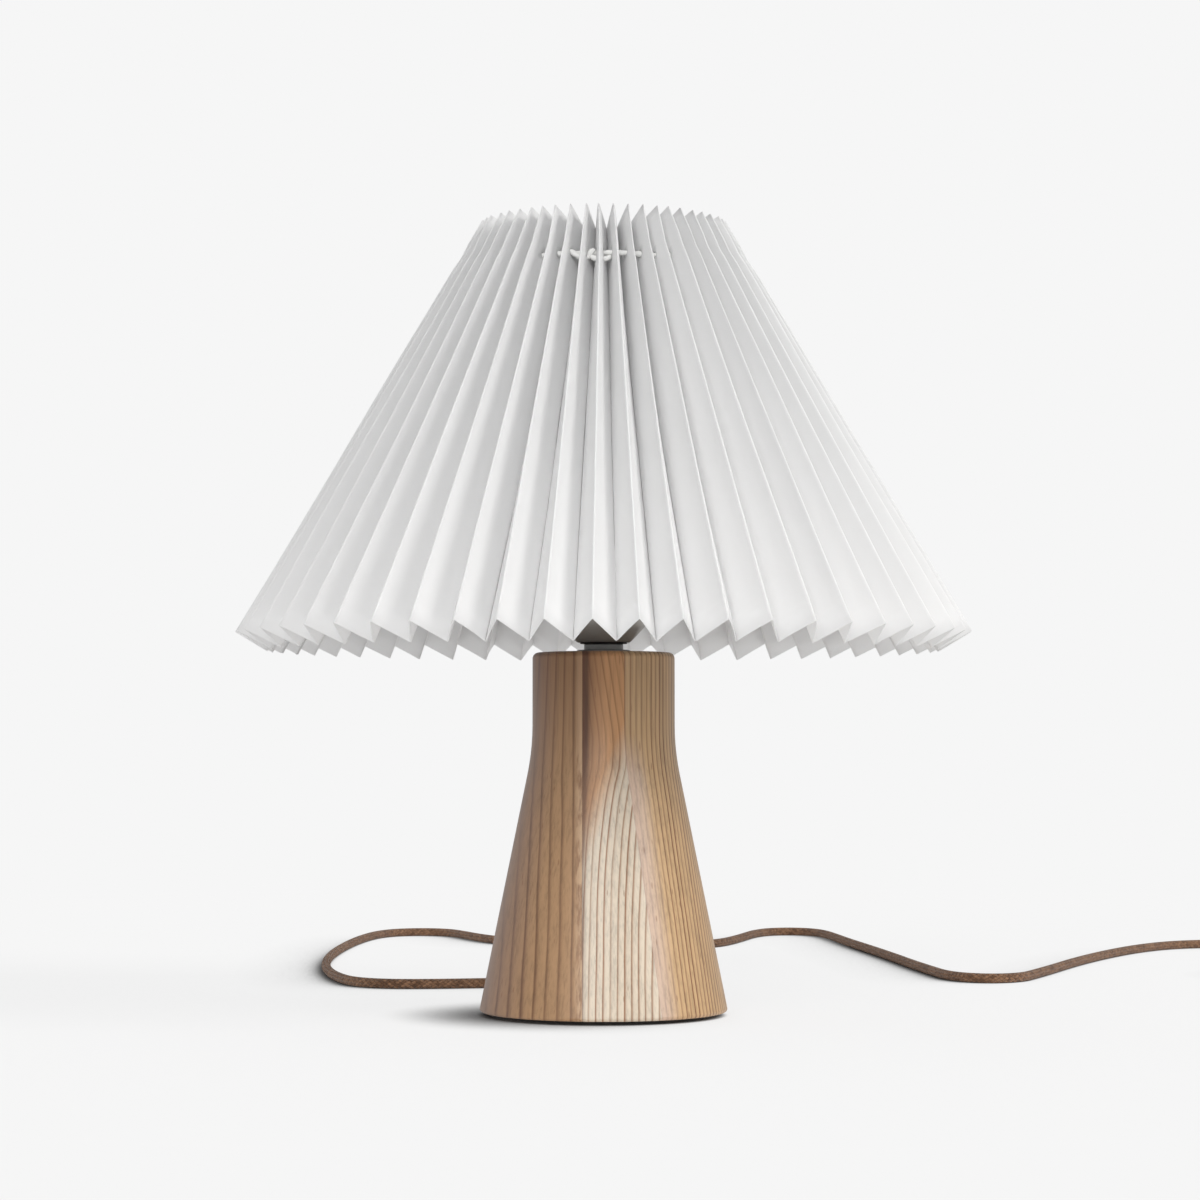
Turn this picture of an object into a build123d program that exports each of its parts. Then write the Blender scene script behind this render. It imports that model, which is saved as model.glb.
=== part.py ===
from build123d import *
import math
import os

# A table lamp: a turned wooden stand, a pleated paper shade on a wire carrier,
# a screw lampholder with its bulb, and a textile cord with a switch and a plug.
# Millimetres, +Z up. The origin is the centre of the stand's foot, on the table.
# The front is -Y, and the cord leaves the stand at the back, +Y.

os.makedirs("parts", exist_ok=True)

# ---------------------------------------------------------------- stand
stand_height = 147.0
foot_radius = 50.5
neck_radius = 29.0
shoulder_height = 107.5  # where the neck's line meets the cone's line
shoulder_bend = 100.0
neck_edge_round = 2.5
foot_edge_round = 1.2
pad_thickness = 1.5
pad_radius = 46.0
recess_radius = 32.0
recess_depth = 30.0
stem_bore_radius = 5.3

# ---------------------------------------------------------------- threaded tube and its nuts
stem_radius = 5.0
stem_inner_radius = 4.0
stem_below_nut = 2.0
stem_above_cup_nut = 0.6
thread_clearance = 0.05
bottom_washer_radius = 14.0
bottom_washer_thickness = 1.5
bottom_nut_height = 6.0
nut_corner_radius = 9.2
top_washer_radius = 11.0
top_washer_thickness = 1.0
lock_nut_radius = 8.0
lock_nut_height = 2.6
fibre_washer_radius = 9.5
fibre_washer_thickness = 0.5
cup_nut_corner_radius = 8.1
cup_nut_height = 2.5

# ---------------------------------------------------------------- lampholder
cup_floor_radius = 10.8
cup_radius = 20.5
cup_height = 26.9
cup_wall = 0.8
cup_flare_radius = 17.6
cup_flare_height = 7.2
cup_bend = 10.5
cup_floor_bend = 1.2
skirt_neck_clearance = 0.1
skirt_neck_length = 6.0
skirt_wall = 1.7
shoulder_flange_radius = 23.0
shoulder_flange_height = 2.5
skirt_thread_radius = 19.8
skirt_thread_height = 25.5
skirt_lip_radius = 15.6
skirt_lip_height = 1.6
shade_ring_radius = 25.0
shade_ring_height = 8.5
ring_grip_count = 24
ring_grip_radius = 1.4
ring_grip_outside = 0.6
ring_clearance = 0.08
block_radius = 17.0
block_height = 12.5
block_flange_radius = 19.3
block_flange_height = 3.0
block_above_flange = 4.0
shell_inner_radius = 13.35
shell_wall = 0.4
shell_height = 25.0
shell_floor_hole = 6.0
terminal_offset = 9.0
terminal_size = 5.0
terminal_height = 3.5
terminal_screw_radius = 1.25
terminal_screw_head = 1.6
contact_width = 5.0
contact_thickness = 0.5
contact_reach = 5.2
contact_rise = 2.6

# ---------------------------------------------------------------- bulb
bulb_cap_clearance = 0.07
bulb_cap_height = 20.5
bulb_cap_wall = 0.35
bulb_tip_radius = 4.5
bulb_tip_height = 1.5
bulb_insulator_height = 2.5
bulb_length = 108.0
bulb_globe_radius = 30.0
bulb_globe_wall = 1.2
bulb_neck_radius = 14.6
bulb_neck_height = 3.0
bulb_seam_above_cap = 40.0
housing_wall = 1.8
housing_plug_depth = 8.0
led_board_thickness = 1.5
led_chip_count = 8
led_chip_size = 3.0
led_chip_circle = 14.0
led_chip_height = 0.8
driver_width = 18.0
driver_height = 24.0
driver_thickness = 1.6

# ---------------------------------------------------------------- shade
shade_hem_height = 155.0  # the outer folds' lower tips, above the table
shade_hem_radius = 150.0
shade_top_height = 323.0
shade_top_radius = 51.0
pleat_count = 52
pleat_panel_width = 17.5  # the flat strip between two folds
pleat_turn = -1.4  # degrees from the front to the nearest outer fold
paper_thickness = 0.4
lace_below_tips = 15.5
lace_radius = 0.9
lace_hole_clearance = 0.4
lace_inside_tips = 13.0
carrier_wire = 1.5
carrier_below_top = 17.0
carrier_clearance = 0.3
fitter_width = 6.5
fitter_thickness = 1.5
fitter_clearance = 0.3
arm_radius = 42.0
arm_rise = 8.0
arm_below_ring = 30.0
arm_bend = 6.0
arm_count = 3

# ---------------------------------------------------------------- cord
cord_radius = 2.2
cord_height = 10.0  # the axis of the cord outlet above the table
bush_radius = 4.0
bush_flange_radius = 6.3
bush_flange_thickness = 2.0
bush_seat = 46.0  # the flat that the bush's flange sits on, from the axis
bush_inner_end = 22.0
bush_relief_length = 24.0
bush_relief_big = 4.6
bush_relief_small = 3.1
bush_clearance = 0.05
grip_nut_corner_radius = 7.4
grip_nut_thickness = 5.0
inner_cord_bend = 12.0
lead_radius = 0.9
lead_spacing = 1.1
lead_rise = 1.9
lead_bend = 1.7
bush_end = bush_seat + bush_flange_thickness + bush_relief_length

# The cord's route over the table, from the bush to the switch, as it lies in
# the photograph, and on past the right edge of the picture.
run_points = [
    (0.0, bush_end, cord_height),
    (0.0, bush_end + 20.0, cord_height),
    (-4.0, 115.0, 4.4),
    (-20.0, 134.0, 2.2),
    (-45.0, 143.0, 2.2),
    (-73.0, 135.0, 2.2),
    (-100.0, 138.0, 2.2),
    (-119.0, 160.0, 2.2),
    (-130.0, 202.0, 2.2),
    (-138.0, 260.0, 2.2),
    (-141.0, 322.0, 2.2),
    (-140.0, 383.0, 2.2),
    (-137.0, 434.0, 2.2),
    (-134.0, 474.0, 2.2),
    (-131.0, 502.0, 2.2),
    (-117.0, 517.0, 2.2),
    (-97.0, 517.0, 2.2),
    (-83.0, 503.0, 2.2),
    (-75.0, 475.0, 2.2),
    (-60.0, 440.0, 2.2),
    (-29.0, 415.0, 2.2),
    (14.0, 396.0, 2.2),
    (50.0, 404.0, 2.2),
    (70.0, 436.0, 2.2),
    (77.0, 478.0, 2.2),
    (83.0, 509.0, 2.2),
    (97.0, 524.0, 2.2),
    (117.0, 523.0, 2.2),
    (130.0, 508.0, 2.2),
    (134.0, 474.0, 2.2),
    (138.0, 420.0, 2.2),
    (143.0, 360.0, 2.2),
    (150.0, 300.0, 2.2),
    (153.0, 247.0, 2.2),
    (155.0, 209.0, 2.2),
    (158.0, 181.0, 2.2),
    (171.0, 166.0, 2.2),
    (191.0, 165.0, 2.2),
    (205.0, 179.0, 2.2),
    (218.0, 210.0, 2.2),
    (234.0, 266.0, 2.2),
    (257.0, 321.0, 2.2),
    (281.0, 368.0, 2.2),
    (305.0, 401.0, 2.2),
    (334.0, 414.0, 2.2),
    (358.0, 402.0, 3.4),
    (368.0, 374.0, 9.0),
    (368.0, 352.0, 9.0),
]
link_points = [
    (368.0, 290.0, 9.0),
    (368.0, 272.0, 9.0),
    (367.6, 252.0, 4.8),
    (367.0, 231.0, 2.2),
    (367.0, 211.0, 2.2),
]
coil_centre = (341.0, 206.6)
coil_outer_radius = 26.0
coil_gap = 0.55
coil_quarters_in = 3
tail_points = [
    (367.0, 202.2, 7.15),
    (367.0, 184.0, 7.15),
    (366.0, 164.0, 3.2),
    (364.0, 143.0, 2.2),
    (361.5, 122.0, 3.6),
    (361.0, 102.0, 6.85),
    (361.0, 84.0, 6.85),
]

# ---------------------------------------------------------------- switch on the cord
switch_width = 27.0
switch_half_height = 9.0
switch_wall = 1.6
switch_round = 4.0
switch_end_round = 8.0
rocker_width = 11.0
rocker_length = 18.0
rocker_window_gap = 1.6
rocker_side_gap = 0.5
rocker_pivot_height = 12.0
rocker_tilt = 9.0  # degrees to each side of level
rocker_end_height = 8.0
rocker_middle_height = 6.4
rocker_foot = 3.0
pin_radius = 1.0
pin_clearance = 0.05
ear_gap = 0.3
ear_thickness = 1.6
ear_half_width = 3.0
ear_above_pin = 2.0
switch_screw_x = 8.6
switch_screw_y = 21.5
switch_screw_radius = 1.25
switch_screw_head = 2.4
switch_screw_head_height = 1.6
switch_screw_sunk = 0.2
switch_boss_radius = 3.0
switch_contact_y = 12.0
switch_lead_side = 9.6
switch_lead_crossing = 16.5
switch_lead_turn = 26.0
switch_lead_bend = 2.2

# ---------------------------------------------------------------- plug
plug_width = 35.3
plug_back_width = 17.0
plug_length = 35.5
plug_thickness = 13.7
plug_round = 3.5
plug_outline_round = 5.0
plug_face_taper = 2.0
plug_pin_radius = 2.0
plug_pin_length = 19.0
plug_pin_spacing = 18.6
plug_pin_seat = 8.0
plug_pin_root_radius = 1.5  # the thinner root that is moulded into the plug
plug_pin_root_shown = 0.3
plug_relief_length = 24.0
plug_relief_big = 5.0
plug_relief_small = 3.0
plug_relief_seat = 4.0

cut_margin = 1.0  # how far a cut reaches past the face that it opens

# ================================================================ heights worked out
recess_top = pad_thickness + recess_depth
bottom_washer_bottom = recess_top - bottom_washer_thickness
bottom_nut_bottom = bottom_washer_bottom - bottom_nut_height
stem_bottom = bottom_nut_bottom - stem_below_nut
lock_nut_bottom = stand_height + top_washer_thickness
lock_nut_top = lock_nut_bottom + lock_nut_height
cup_bottom = lock_nut_top + fibre_washer_thickness
cup_floor = cup_bottom + cup_wall
cup_nut_top = cup_floor + cup_nut_height
stem_top = cup_nut_top + stem_above_cup_nut
cup_top = cup_bottom + cup_height
skirt_bottom = cup_top - skirt_neck_length
skirt_neck_radius = cup_radius - cup_wall - skirt_neck_clearance
skirt_inner_radius = skirt_thread_radius - skirt_wall
seat_height = cup_top + shoulder_flange_height
skirt_top = seat_height + skirt_thread_height
block_flange_top = skirt_bottom
block_flange_bottom = block_flange_top - block_flange_height
block_top = block_flange_top + block_above_flange
block_bottom = block_top - block_height
shell_outer_radius = shell_inner_radius + shell_wall
contact_top = block_top + shell_wall + contact_rise
bulb_cap_radius = shell_inner_radius - bulb_cap_clearance
bulb_tip_top = contact_top + bulb_tip_height
bulb_cap_bottom = bulb_tip_top + bulb_insulator_height
bulb_cap_top = bulb_cap_bottom + bulb_cap_height
bulb_neck_top = bulb_cap_top + bulb_neck_height
bulb_top = contact_top + bulb_length
globe_centre = bulb_top - bulb_globe_radius
bulb_seam = bulb_cap_top + bulb_seam_above_cap
fitter_top = seat_height + fitter_thickness
fitter_inner_radius = skirt_thread_radius + fitter_clearance
fitter_outer_radius = fitter_inner_radius + fitter_width


# ================================================================ helpers
def ring(bottom, top, outer, inner, mode=Mode.ADD):
    """A ring about the lamp's axis from one height to another."""
    with BuildSketch(Plane.XY.offset(bottom)) as section:
        Circle(outer)
        if inner > 0:
            Circle(inner, mode=Mode.SUBTRACT)
    extrude(section.sketch, amount=top - bottom, mode=mode)


def disc(bottom, top, radius, x=0.0, y=0.0, mode=Mode.ADD):
    """An upright round bar at x, y from one height to another."""
    with BuildSketch(Plane.XY.offset(bottom)) as section:
        with Locations((x, y)):
            Circle(radius)
    extrude(section.sketch, amount=top - bottom, mode=mode)


def hexagon(bottom, top, corner_radius, bore_radius):
    """A hexagon nut about the lamp's axis."""
    with BuildSketch(Plane.XY.offset(bottom)) as section:
        RegularPolygon(corner_radius, 6)
        Circle(bore_radius, mode=Mode.SUBTRACT)
    extrude(section.sketch, amount=top - bottom)


def backwards(y, x=0.0, z=0.0):
    """A plane that faces the back of the lamp, +Y."""
    return Plane(origin=(x, y, z), x_dir=(1, 0, 0), z_dir=(0, 1, 0))


def bar_to_back(y_start, y_end, radius, x, z, mode=Mode.ADD):
    """A round bar along +Y from one y to another."""
    with BuildSketch(backwards(y_start, x, z)) as section:
        Circle(radius)
    extrude(section.sketch, amount=y_end - y_start, mode=mode)


def cone_to_back(y_start, y_end, radius_start, radius_end, x, z):
    """A round taper along +Y from one y to another."""
    with BuildSketch(backwards(y_start, x, z)) as first:
        Circle(radius_start)
    with BuildSketch(backwards(y_end, x, z)) as last:
        Circle(radius_end)
    loft(sections=[first.sketch, last.sketch], ruled=True)


def cord_radii(points):
    """Each corner's arc: 0.45 of the shorter run over the tangent of half the turn."""
    corners = [Vector(*point) for point in points]
    radii = []
    for before, corner, after in zip(corners, corners[1:], corners[2:]):
        run_in = corner - before
        run_out = after - corner
        half_turn = math.radians(run_in.get_angle(run_out) / 2)
        radii.append(0.45 * min(run_in.length, run_out.length) / math.tan(half_turn))
    return radii


def cord_tube(name, points, radius, radii):
    """A tube along straight runs and tangent arcs, with its length printed."""
    with BuildLine() as route:
        FilletPolyline(*points, radius=radii)
    path = route.wires()[0]
    start = Plane(origin=path @ 0, z_dir=path % 0)
    with BuildSketch(start) as section:
        Circle(radius)
    sweep(section.sketch, path=path)
    print(f"{name}: {path.length:.0f} mm, smallest radius {min(radii):.1f} mm")
    return path.length


def check_volume(name, volume, length, radius):
    """Prints a tube's volume beside its section times its length."""
    print(f"{name}: volume {volume:.0f}, section times length {math.pi * radius**2 * length:.0f}")


# ================================================================ stand
with BuildPart() as wood_base:
    with BuildSketch(Plane.XZ) as profile:
        with BuildLine():
            Polyline(
                (stem_bore_radius, stand_height),
                (neck_radius, stand_height),
                (neck_radius, shoulder_height),
                (foot_radius, pad_thickness),
                (recess_radius, pad_thickness),
                (recess_radius, recess_top),
                (stem_bore_radius, recess_top),
                close=True,
            )
        make_face()
        fillet(profile.vertices().sort_by_distance((neck_radius, shoulder_height))[0], shoulder_bend)
        fillet(profile.vertices().sort_by_distance((neck_radius, stand_height))[0], neck_edge_round)
        fillet(profile.vertices().sort_by_distance((foot_radius, pad_thickness))[0], foot_edge_round)
    revolve(axis=Axis.Z)
    # the cord's hole through the back wall, and the flat for the bush's flange
    bar_to_back(recess_radius / 2, foot_radius, bush_radius + bush_clearance, 0, cord_height,
                mode=Mode.SUBTRACT)
    bar_to_back(bush_seat, foot_radius + cut_margin, bush_flange_radius + bush_clearance, 0, cord_height,
                mode=Mode.SUBTRACT)
wood_base.part.label = "wood_base"
export_step(wood_base.part, "parts/wood_base.step")

with BuildPart() as base_pad:
    disc(0, pad_thickness, pad_radius)
    fillet(base_pad.edges().group_by(Axis.Z)[0], pad_thickness / 3)
base_pad.part.label = "base_pad"
export_step(base_pad.part, "parts/base_pad.step")

with BuildPart() as stem_tube:
    ring(stem_bottom, stem_top, stem_radius, stem_inner_radius)
stem_tube.part.label = "stem_tube"
export_step(stem_tube.part, "parts/stem_tube.step")

with BuildPart() as bottom_washer:
    ring(bottom_washer_bottom, recess_top, bottom_washer_radius, stem_bore_radius)
bottom_washer.part.label = "bottom_washer"
export_step(bottom_washer.part, "parts/bottom_washer.step")

with BuildPart() as bottom_nut:
    hexagon(bottom_nut_bottom, bottom_washer_bottom, nut_corner_radius, stem_radius + thread_clearance)
bottom_nut.part.label = "bottom_nut"
export_step(bottom_nut.part, "parts/bottom_nut.step")

with BuildPart() as top_washer:
    ring(stand_height, lock_nut_bottom, top_washer_radius, stem_bore_radius)
    fillet(top_washer.edges().group_by(Axis.Z)[-1].sort_by(Edge.length)[-1], top_washer_thickness / 2)
top_washer.part.label = "top_washer"
export_step(top_washer.part, "parts/top_washer.step")

with BuildPart() as lock_nut:
    ring(lock_nut_bottom, lock_nut_top, lock_nut_radius, stem_radius + thread_clearance)
    chamfer(lock_nut.edges().group_by(Axis.Z)[-1].sort_by(Edge.length)[-1], lock_nut_height / 6)
lock_nut.part.label = "lock_nut"
export_step(lock_nut.part, "parts/lock_nut.step")

with BuildPart() as fibre_washer:
    ring(lock_nut_top, cup_bottom, fibre_washer_radius, stem_bore_radius)
fibre_washer.part.label = "fibre_washer"
export_step(fibre_washer.part, "parts/fibre_washer.step")

# ================================================================ lampholder
with BuildPart() as holder_cup:
    with BuildSketch(Plane.XZ) as profile:
        with BuildLine():
            outside = FilletPolyline(
                (stem_radius + thread_clearance, cup_bottom),
                (cup_floor_radius, cup_bottom),
                (cup_flare_radius, cup_bottom + cup_flare_height),
                (cup_radius, cup_bottom + 2 * cup_flare_height),
                (cup_radius, cup_top),
                radius=[cup_floor_bend, cup_bend, cup_bend],
            )
            inside = FilletPolyline(
                (stem_radius + thread_clearance, cup_floor),
                (cup_floor_radius - cup_wall / 2, cup_floor),
                (cup_flare_radius - cup_wall, cup_bottom + cup_flare_height + cup_wall / 2),
                (cup_radius - cup_wall, cup_bottom + 2 * cup_flare_height + cup_wall / 4),
                (cup_radius - cup_wall, cup_top),
                radius=[cup_wall, cup_bend - cup_wall, cup_bend - cup_wall],
            )
            Line(outside @ 0, inside @ 0)
            Line(outside @ 1, inside @ 1)
        make_face()
    revolve(axis=Axis.Z)
holder_cup.part.label = "holder_cup"
export_step(holder_cup.part, "parts/holder_cup.step")

with BuildPart() as cup_nut:
    hexagon(cup_floor, cup_nut_top, cup_nut_corner_radius, stem_radius + thread_clearance)
cup_nut.part.label = "cup_nut"
export_step(cup_nut.part, "parts/cup_nut.step")

with BuildPart() as holder_skirt:
    ring(skirt_bottom, seat_height, skirt_neck_radius, skirt_inner_radius)
    ring(cup_top, seat_height, shoulder_flange_radius, skirt_inner_radius)
    fillet(holder_skirt.edges().filter_by(GeomType.CIRCLE).sort_by(Edge.length)[-1], cup_wall)
    ring(seat_height, skirt_top - skirt_lip_height, skirt_thread_radius, skirt_inner_radius)
    ring(skirt_top - skirt_lip_height, skirt_top, skirt_thread_radius, skirt_lip_radius)
    chamfer(holder_skirt.edges().group_by(Axis.Z)[-1].sort_by(Edge.length)[-1], cup_wall)
holder_skirt.part.label = "holder_skirt"
export_step(holder_skirt.part, "parts/holder_skirt.step")

shade_ring_bottom = fitter_top
shade_ring_top = shade_ring_bottom + shade_ring_height
shade_ring_bore = skirt_thread_radius + ring_clearance
with BuildPart() as shade_ring:
    ring(shade_ring_bottom, shade_ring_top, shade_ring_radius, shade_ring_bore)
    chamfer(shade_ring.edges().group_by(Axis.Z)[-1].sort_by(Edge.length)[-1], cup_wall)
    with BuildSketch(Plane.XY.offset(shade_ring_bottom)) as grips:
        with PolarLocations(shade_ring_radius + ring_grip_outside, ring_grip_count):
            Circle(ring_grip_radius)
    extrude(grips.sketch, amount=shade_ring_height, mode=Mode.SUBTRACT)
shade_ring.part.label = "shade_ring"
export_step(shade_ring.part, "parts/shade_ring.step")

with BuildPart() as terminal_block:
    disc(block_bottom, block_top, block_radius)
    disc(block_flange_bottom, block_flange_top, block_flange_radius)
    chamfer(terminal_block.edges().group_by(Axis.Z)[-1], cup_wall)
terminal_block.part.label = "terminal_block"
export_step(terminal_block.part, "parts/terminal_block.step")

terminal_bottom = block_bottom - terminal_height
with BuildPart() as terminals:
    with BuildSketch(Plane.XY.offset(terminal_bottom)) as section:
        with Locations((-terminal_offset, 0), (terminal_offset, 0)):
            Rectangle(terminal_size, terminal_size)
    extrude(section.sketch, amount=terminal_height)
    for side in (-1, 1):
        bar_to_back(-terminal_size, terminal_size, terminal_screw_radius + thread_clearance,
                    side * terminal_offset, terminal_bottom + terminal_height / 2, mode=Mode.SUBTRACT)
terminals.part.label = "terminals"
export_step(terminals.part, "parts/terminals.step")

with BuildPart() as terminal_screws:
    for side in (-1, 1):
        bar_to_back(-terminal_size / 2, terminal_size / 2, terminal_screw_radius,
                    side * terminal_offset, terminal_bottom + terminal_height / 2)
        bar_to_back(-terminal_size / 2 - terminal_screw_head / 2, -terminal_size / 2,
                    terminal_screw_head, side * terminal_offset, terminal_bottom + terminal_height / 2)
terminal_screws.part.label = "terminal_screws"
export_step(terminal_screws.part, "parts/terminal_screws.step")

with BuildPart() as screw_shell:
    ring(block_top, block_top + shell_wall, shell_outer_radius, shell_floor_hole)
    ring(block_top, block_top + shell_height, shell_outer_radius, shell_inner_radius)
screw_shell.part.label = "screw_shell"
export_step(screw_shell.part, "parts/screw_shell.step")

with BuildPart() as centre_contact:
    with BuildSketch(Plane.XZ) as profile:
        with BuildLine():
            Polyline(
                (-contact_reach, block_top),
                (-contact_thickness, block_top),
                (contact_reach / 3, contact_top - contact_thickness),
                (contact_reach - 2 * contact_thickness, contact_top - contact_thickness),
                (contact_reach - 2 * contact_thickness, contact_top),
                (contact_reach / 3 - contact_thickness, contact_top),
                (-2 * contact_thickness, block_top + contact_thickness),
                (-contact_reach, block_top + contact_thickness),
                close=True,
            )
        make_face()
    extrude(profile.sketch, amount=contact_width / 2, both=True)
centre_contact.part.label = "centre_contact"
export_step(centre_contact.part, "parts/centre_contact.step")

# ================================================================ bulb
with BuildPart() as bulb_tip:
    disc(contact_top, bulb_tip_top, bulb_tip_radius)
    fillet(bulb_tip.edges().group_by(Axis.Z)[0], bulb_tip_height / 2)
bulb_tip.part.label = "bulb_tip"
export_step(bulb_tip.part, "parts/bulb_tip.step")

with BuildPart() as bulb_insulator:
    with BuildSketch(Plane.XY.offset(bulb_tip_top)) as small_end:
        Circle(bulb_tip_radius)
    with BuildSketch(Plane.XY.offset(bulb_cap_bottom)) as big_end:
        Circle(bulb_cap_radius - bulb_cap_wall)
    loft(sections=[small_end.sketch, big_end.sketch], ruled=True)
bulb_insulator.part.label = "bulb_insulator"
export_step(bulb_insulator.part, "parts/bulb_insulator.step")

with BuildPart() as bulb_cap:
    ring(bulb_cap_bottom, bulb_cap_top, bulb_cap_radius, bulb_cap_radius - bulb_cap_wall)
bulb_cap.part.label = "bulb_cap"
export_step(bulb_cap.part, "parts/bulb_cap.step")

seam_drop = bulb_seam - globe_centre
seam_radius = math.sqrt(bulb_globe_radius**2 - seam_drop**2)
inner_globe_radius = bulb_globe_radius - bulb_globe_wall
inner_seam_radius = math.sqrt(inner_globe_radius**2 - seam_drop**2)
board_radius = seam_radius - housing_wall / 2
board_bottom = bulb_seam - led_board_thickness
plug_in_radius = bulb_cap_radius - bulb_cap_wall - bulb_cap_clearance
with BuildPart() as bulb_housing:
    with BuildSketch(Plane.XZ) as profile:
        with BuildLine():
            Polyline(
                (plug_in_radius - housing_wall, bulb_cap_top - housing_plug_depth),
                (plug_in_radius, bulb_cap_top - housing_plug_depth),
                (plug_in_radius, bulb_cap_top),
                (bulb_neck_radius, bulb_cap_top),
                (bulb_neck_radius, bulb_neck_top),
            )
            TangentArc(
                (seam_radius, bulb_seam), (bulb_neck_radius, bulb_neck_top),
                tangent=(seam_drop, -seam_radius),
            )
            Line((seam_radius, bulb_seam), (seam_radius - housing_wall, bulb_seam))
            TangentArc(
                (seam_radius - housing_wall, bulb_seam),
                (plug_in_radius - housing_wall, bulb_neck_top),
                tangent=(seam_drop, -seam_radius),
            )
            Line(
                (plug_in_radius - housing_wall, bulb_neck_top),
                (plug_in_radius - housing_wall, bulb_cap_top - housing_plug_depth),
            )
        make_face()
    revolve(axis=Axis.Z)
    disc(board_bottom, bulb_seam, board_radius + bulb_cap_clearance, mode=Mode.SUBTRACT)
bulb_housing.part.label = "bulb_housing"
export_step(bulb_housing.part, "parts/bulb_housing.step")

with BuildPart() as bulb_globe:
    with BuildSketch(Plane.XZ) as profile:
        with BuildLine():
            CenterArc((0, globe_centre), bulb_globe_radius,
                      math.degrees(math.atan2(seam_drop, seam_radius)),
                      90 - math.degrees(math.atan2(seam_drop, seam_radius)))
            Line((0, globe_centre + bulb_globe_radius), (0, globe_centre + inner_globe_radius))
            CenterArc((0, globe_centre), inner_globe_radius,
                      math.degrees(math.atan2(seam_drop, inner_seam_radius)),
                      90 - math.degrees(math.atan2(seam_drop, inner_seam_radius)))
            Line((inner_seam_radius, bulb_seam), (seam_radius, bulb_seam))
        make_face()
    revolve(axis=Axis.Z)
bulb_globe.part.label = "bulb_globe"
export_step(bulb_globe.part, "parts/bulb_globe.step")

with BuildPart() as led_board:
    disc(board_bottom, board_bottom + led_board_thickness, board_radius)
led_board.part.label = "led_board"
export_step(led_board.part, "parts/led_board.step")

chips_bottom = board_bottom + led_board_thickness
with BuildPart() as led_chips:
    with BuildSketch(Plane.XY.offset(chips_bottom)) as section:
        with PolarLocations(led_chip_circle, led_chip_count):
            Rectangle(led_chip_size, led_chip_size)
    extrude(section.sketch, amount=led_chip_height)
led_chips.part.label = "led_chips"
export_step(led_chips.part, "parts/led_chips.step")

with BuildPart() as led_driver:
    with BuildSketch(Plane.XY.offset(board_bottom - driver_height)) as section:
        Rectangle(driver_width, driver_thickness)
    extrude(section.sketch, amount=driver_height)
led_driver.part.label = "led_driver"
export_step(led_driver.part, "parts/led_driver.step")

# ================================================================ shade
# The shade is one strip of paper in straight panels. Outer folds run from hem
# to top on one cone, inner folds on a second one inside it. The strip's edges
# are cut square to its folds, so the outer folds' tips stand higher.
shade_slant = math.atan2(shade_hem_radius - shade_top_radius, shade_top_height - shade_hem_height)


def fold_depth(outer_radius):
    """How far the inner fold lies inside the outer one, square to the slant."""
    half_pitch = math.pi * outer_radius / pleat_count
    for _ in range(6):
        depth = math.sqrt(pleat_panel_width**2 - half_pitch**2)
        half_pitch = math.pi * (outer_radius - depth * math.cos(shade_slant) / 2) / pleat_count
    return depth


def inner_tip(outer_radius, outer_height):
    """The inner fold's end, on the square cut through the outer fold's end."""
    depth = fold_depth(outer_radius)
    return outer_radius - depth * math.cos(shade_slant), outer_height - depth * math.sin(shade_slant)


hem_valley_radius, hem_valley_height = inner_tip(shade_hem_radius, shade_hem_height)
top_valley_radius, top_valley_height = inner_tip(shade_top_radius, shade_top_height)


def along(height, low_radius, low_height, high_radius, high_height):
    """The radius at a height on the straight line through two points."""
    share = (height - low_height) / (high_height - low_height)
    return low_radius + share * (high_radius - low_radius)


def outer_fold(height):
    """The outer folds' radius at a height."""
    return along(height, shade_hem_radius, shade_hem_height, shade_top_radius, shade_top_height)


def inner_fold(height):
    """The inner folds' radius at a height."""
    return along(height, hem_valley_radius, hem_valley_height, top_valley_radius, top_valley_height)


def pleat_star(height):
    """The folded strip's outer line at a height, as corners of a star."""
    corners = []
    for fold in range(2 * pleat_count):
        radius = outer_fold(height) if fold % 2 == 0 else inner_fold(height)
        angle = math.radians(-90 + pleat_turn) + math.pi * fold / pleat_count
        corners.append((radius * math.cos(angle), radius * math.sin(angle)))
    return corners


def paper_back(height):
    """The radius of the inner folds' back, one paper thickness in from their front."""
    half_pitch = math.pi / pleat_count
    across = outer_fold(height) * math.sin(half_pitch)
    outwards = outer_fold(height) * math.cos(half_pitch) - inner_fold(height)
    return inner_fold(height) - paper_thickness / math.sin(math.atan2(across, outwards))


loft_margin = 3.0
star_bottom = hem_valley_height - loft_margin
star_top = shade_top_height + loft_margin
cut_reach = 8.0
slant_in = (math.cos(shade_slant), math.sin(shade_slant))
hem_depth = fold_depth(shade_hem_radius) + cut_reach
top_depth = fold_depth(shade_top_radius) + cut_reach
lace_height = shade_top_height - lace_below_tips
lace_circle = outer_fold(lace_height) - lace_inside_tips

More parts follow.
